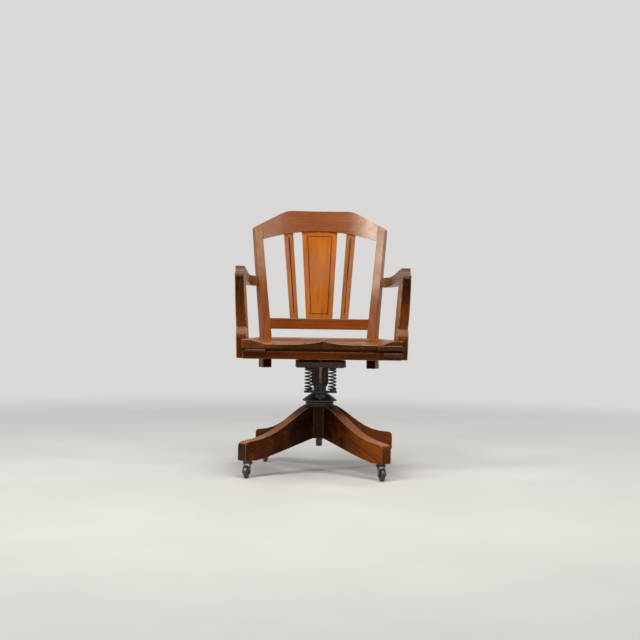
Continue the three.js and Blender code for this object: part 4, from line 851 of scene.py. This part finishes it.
def plank_bmesh():
    bottom, top = low("seat_plank"), high("seat_plank")
    depth = top.y - bottom.y
    bm = bmesh.new()
    wear = bm.verts.layers.float.new("wear")
    grid = []
    for along in spaced(SEAT_ROWS, depth):
        half = mix(top.x, SEAT_BACK_HALF, along)
        row = []
        for across in spaced(SEAT_COLUMNS, 2 * half):
            x = mix(-half, half, across)
            fall = edge_fall(half - abs(x), min(along, 1 - along) * depth)
            v = bm.verts.new((x, bottom.y + along * depth, top.z - scoop(x, along, top.x) - fall))
            share = fall / SEAT_ROUND
            v[wear] = smooth(RIM_WEAR_RISE * share) * smooth(RIM_WEAR_FALL * (1 - share))
            row.append(v)
        grid.append(row)
    for one, two in zip(grid, grid[1:]):
        for i in range(len(one) - 1):
            bm.faces.new((one[i], one[i + 1], two[i + 1], two[i]))
    rim = grid[0] + [row[-1] for row in grid[1:]] + grid[-1][-2::-1] + [row[0] for row in grid[-2:0:-1]]
    under = [bm.verts.new((v.co.x, v.co.y, bottom.z)) for v in rim]
    for i in range(len(rim)):
        j = (i + 1) % len(rim)
        bm.faces.new((rim[i], under[i], under[j], rim[j]))
    bm.faces.new(reversed(under))
    bmesh.ops.recalc_face_normals(bm, faces=bm.faces)
    lay_grain(bm, (1, 0, 0), seed=PLANK_SEED)
    return bm


def cut_away(piece, nodes):
    """Cuts the solids of CAD nodes out of a piece."""
    for node in nodes:
        cutter = bpy.data.objects.new("cutter", frame["nodes"][node].data.copy())
        bpy.context.scene.collection.objects.link(cutter)
        bm = bmesh.new()
        bm.from_mesh(cutter.data)
        bmesh.ops.remove_doubles(bm, verts=bm.verts, dist=WELD)
        bm.to_mesh(cutter.data)
        bm.free()
        tool = piece.modifiers.new("cut", "BOOLEAN")
        tool.operation = "DIFFERENCE"
        tool.solver = "EXACT"
        tool.object = cutter
        piece.modifiers.move(len(piece.modifiers) - 1, 0)
        bpy.context.view_layer.update()
        weighted = piece.modifiers["weighted_normals"]
        weighted.show_viewport = False
        done = bpy.data.meshes.new_from_object(piece.evaluated_get(bpy.context.evaluated_depsgraph_get()))
        weighted.show_viewport = True
        piece.modifiers.remove(tool)
        piece.data = done
        bpy.data.objects.remove(cutter)


# Front of the seat, and the arms
ROLL_SIDES = 20
ROLL_STEPS = 10
ROLL_TIP = 0.35  # of a step, left off each round end
REBATE_HEIGHT = 0.0095
REBATE_DEPTH = 0.009
FRONT_RAIL_SEED = 12
REAR_RAIL_SEED = 13
SIDE_RAIL_SEED = 17
ARM_POST_SEED = 19
ARM_SEED = 21


def add_roll(name):
    """A half-round bar with round ends, its flat back to the seat."""
    node = "front_roll_" + name
    bottom, top, middle = low(node), high(node), centre(node)
    radius = (top.z - bottom.z) / 2
    depth = top.y - bottom.y
    ends = [radius * (1 - math.cos(math.pi / 2 * (i + ROLL_TIP) / ROLL_STEPS)) for i in range(ROLL_STEPS)]
    inner = [mix(bottom.x + radius, top.x - radius, i / ROLL_STEPS) for i in range(ROLL_STEPS + 1)]
    angles = [math.pi * i / ROLL_SIDES for i in range(ROLL_SIDES + 1)]
    rings = []
    for x in [bottom.x + e for e in ends] + inner + [top.x - e for e in reversed(ends)]:
        inset = max(bottom.x + radius - x, x - top.x + radius, 0)
        share = math.sqrt(1 - (inset / radius) ** 2)
        rings.append([(x, top.y - depth * share * math.sin(a), middle.z + radius * share * math.cos(a))
                      for a in angles])
    bm = tube(rings)
    lay_grain(bm, (1, 0, 0), seed=len(name))
    dress(node, "wood", bm, OAKS["rolls"])


def add_front_rail():
    """The rail under the plank's front edge, set back along its top so that a shadow lies there."""
    bottom, top = low("front_rail"), high("front_rail")
    shelf, back = top.z - REBATE_HEIGHT, bottom.y + REBATE_DEPTH
    profile = [(bottom.y, bottom.z), (top.y, bottom.z), (top.y, top.z), (back, top.z), (back, shelf),
               (bottom.y, shelf)]
    bm = tube([[(x, y, z) for y, z in profile] for x in (bottom.x, top.x)])
    soften(bm, rounding=0.0015)
    lay_grain(bm, (1, 0, 0), seed=FRONT_RAIL_SEED)
    rail = dress("front_rail", "wood", bm, OAKS["apron"])
    cut_away(rail, ["arm_post_" + side for side in SIDES])


def add_seat():
    plank = dress("seat_plank", "wood", plank_bmesh(), OAKS["seat"])
    cut_away(plank, [f"{post}_{side}" for post in ("arm_post", "back_post") for side in SIDES])
    add_front_rail()
    wooden("rear_rail", "apron", (1, 0, 0), rounding=0.002, seed=REAR_RAIL_SEED)
    for roll in ("left", "right_upper", "right_lower"):
        add_roll(roll)
    for i, side in enumerate(SIDES):
        wooden("side_rail_" + side, "apron", (0, 1, 0), rounding=0.002, seed=SIDE_RAIL_SEED + i)
        wooden("arm_post_" + side, "arm_posts", (0, 0, 1), rounding=0.0035, seed=ARM_POST_SEED + i)
        wooden("arm_" + side, "arms", (0, 1, 0), rounding=0.004, seed=ARM_SEED + i)


# Back
BACK_LEAN = 0.117 / 0.4935
UP_THE_BACK = (0, BACK_LEAN, 1)
BOW_RADII = {"crest_rail": 0.69377, "lower_back_rail": 1.09165}  # of a rail's middle line
BOW_STEPS = 56
BOW_SNAP = 0.0008
MIDDLE = 0.001
CREST_SEED = 23
LOWER_RAIL_SEED = 24
SPLAT_SEED = 25
BACK_POST_SEED = 26
SLAT_SEED = 28


def curve_rail(bm, node):
    """Cuts a bowed rail's flat facets finer and moves them onto the true curve."""
    radius, half = BOW_RADII[node], high(node).x
    behind = [v.co.y - BACK_LEAN * v.co.z for v in bm.verts if abs(v.co.x) < MIDDLE]
    middle = (min(behind) + max(behind)) / 2 - radius
    thickness = max(behind) - min(behind)
    for i in range(1, BOW_STEPS):
        bisect(bm, (mix(-half, half, i / BOW_STEPS), 0, 0), (1, 0, 0), dist=WELD)
    for v in bm.verts:
        off = v.co.y - BACK_LEAN * v.co.z - middle
        reach = math.hypot(v.co.x, off)
        target = radius + math.copysign(thickness / 2, reach - radius)
        if abs(reach - target) < BOW_SNAP:
            v.co.x *= target / reach
            v.co.y += off * (target / reach - 1)


def add_back():
    wooden("crest_rail", "back", (1, 0, 0), rounding=0.0022, up=UP_THE_BACK, seed=CREST_SEED,
           shape=curve_rail)
    wooden("lower_back_rail", "rail", (1, 0, 0), rounding=0.0022, up=UP_THE_BACK, seed=LOWER_RAIL_SEED,
           shape=curve_rail)
    wooden("centre_splat", "panel", UP_THE_BACK, rounding=0.0014, up=(0, 1, 0), seed=SPLAT_SEED,
           shape=mark_grooves)
    for i, side in enumerate(SIDES):
        wooden("back_post_" + side, "posts", UP_THE_BACK, rounding=0.003, up=(0, 1, 0),
               seed=BACK_POST_SEED + i)
        wooden("back_slat_" + side, "slats", UP_THE_BACK, rounding=0.0016, up=(0, 1, 0),
               seed=SLAT_SEED + i, shape=mark_grooves)


add_camera()
add_stage()
add_lamps()
add_base()
add_column()
add_seat()
add_back()
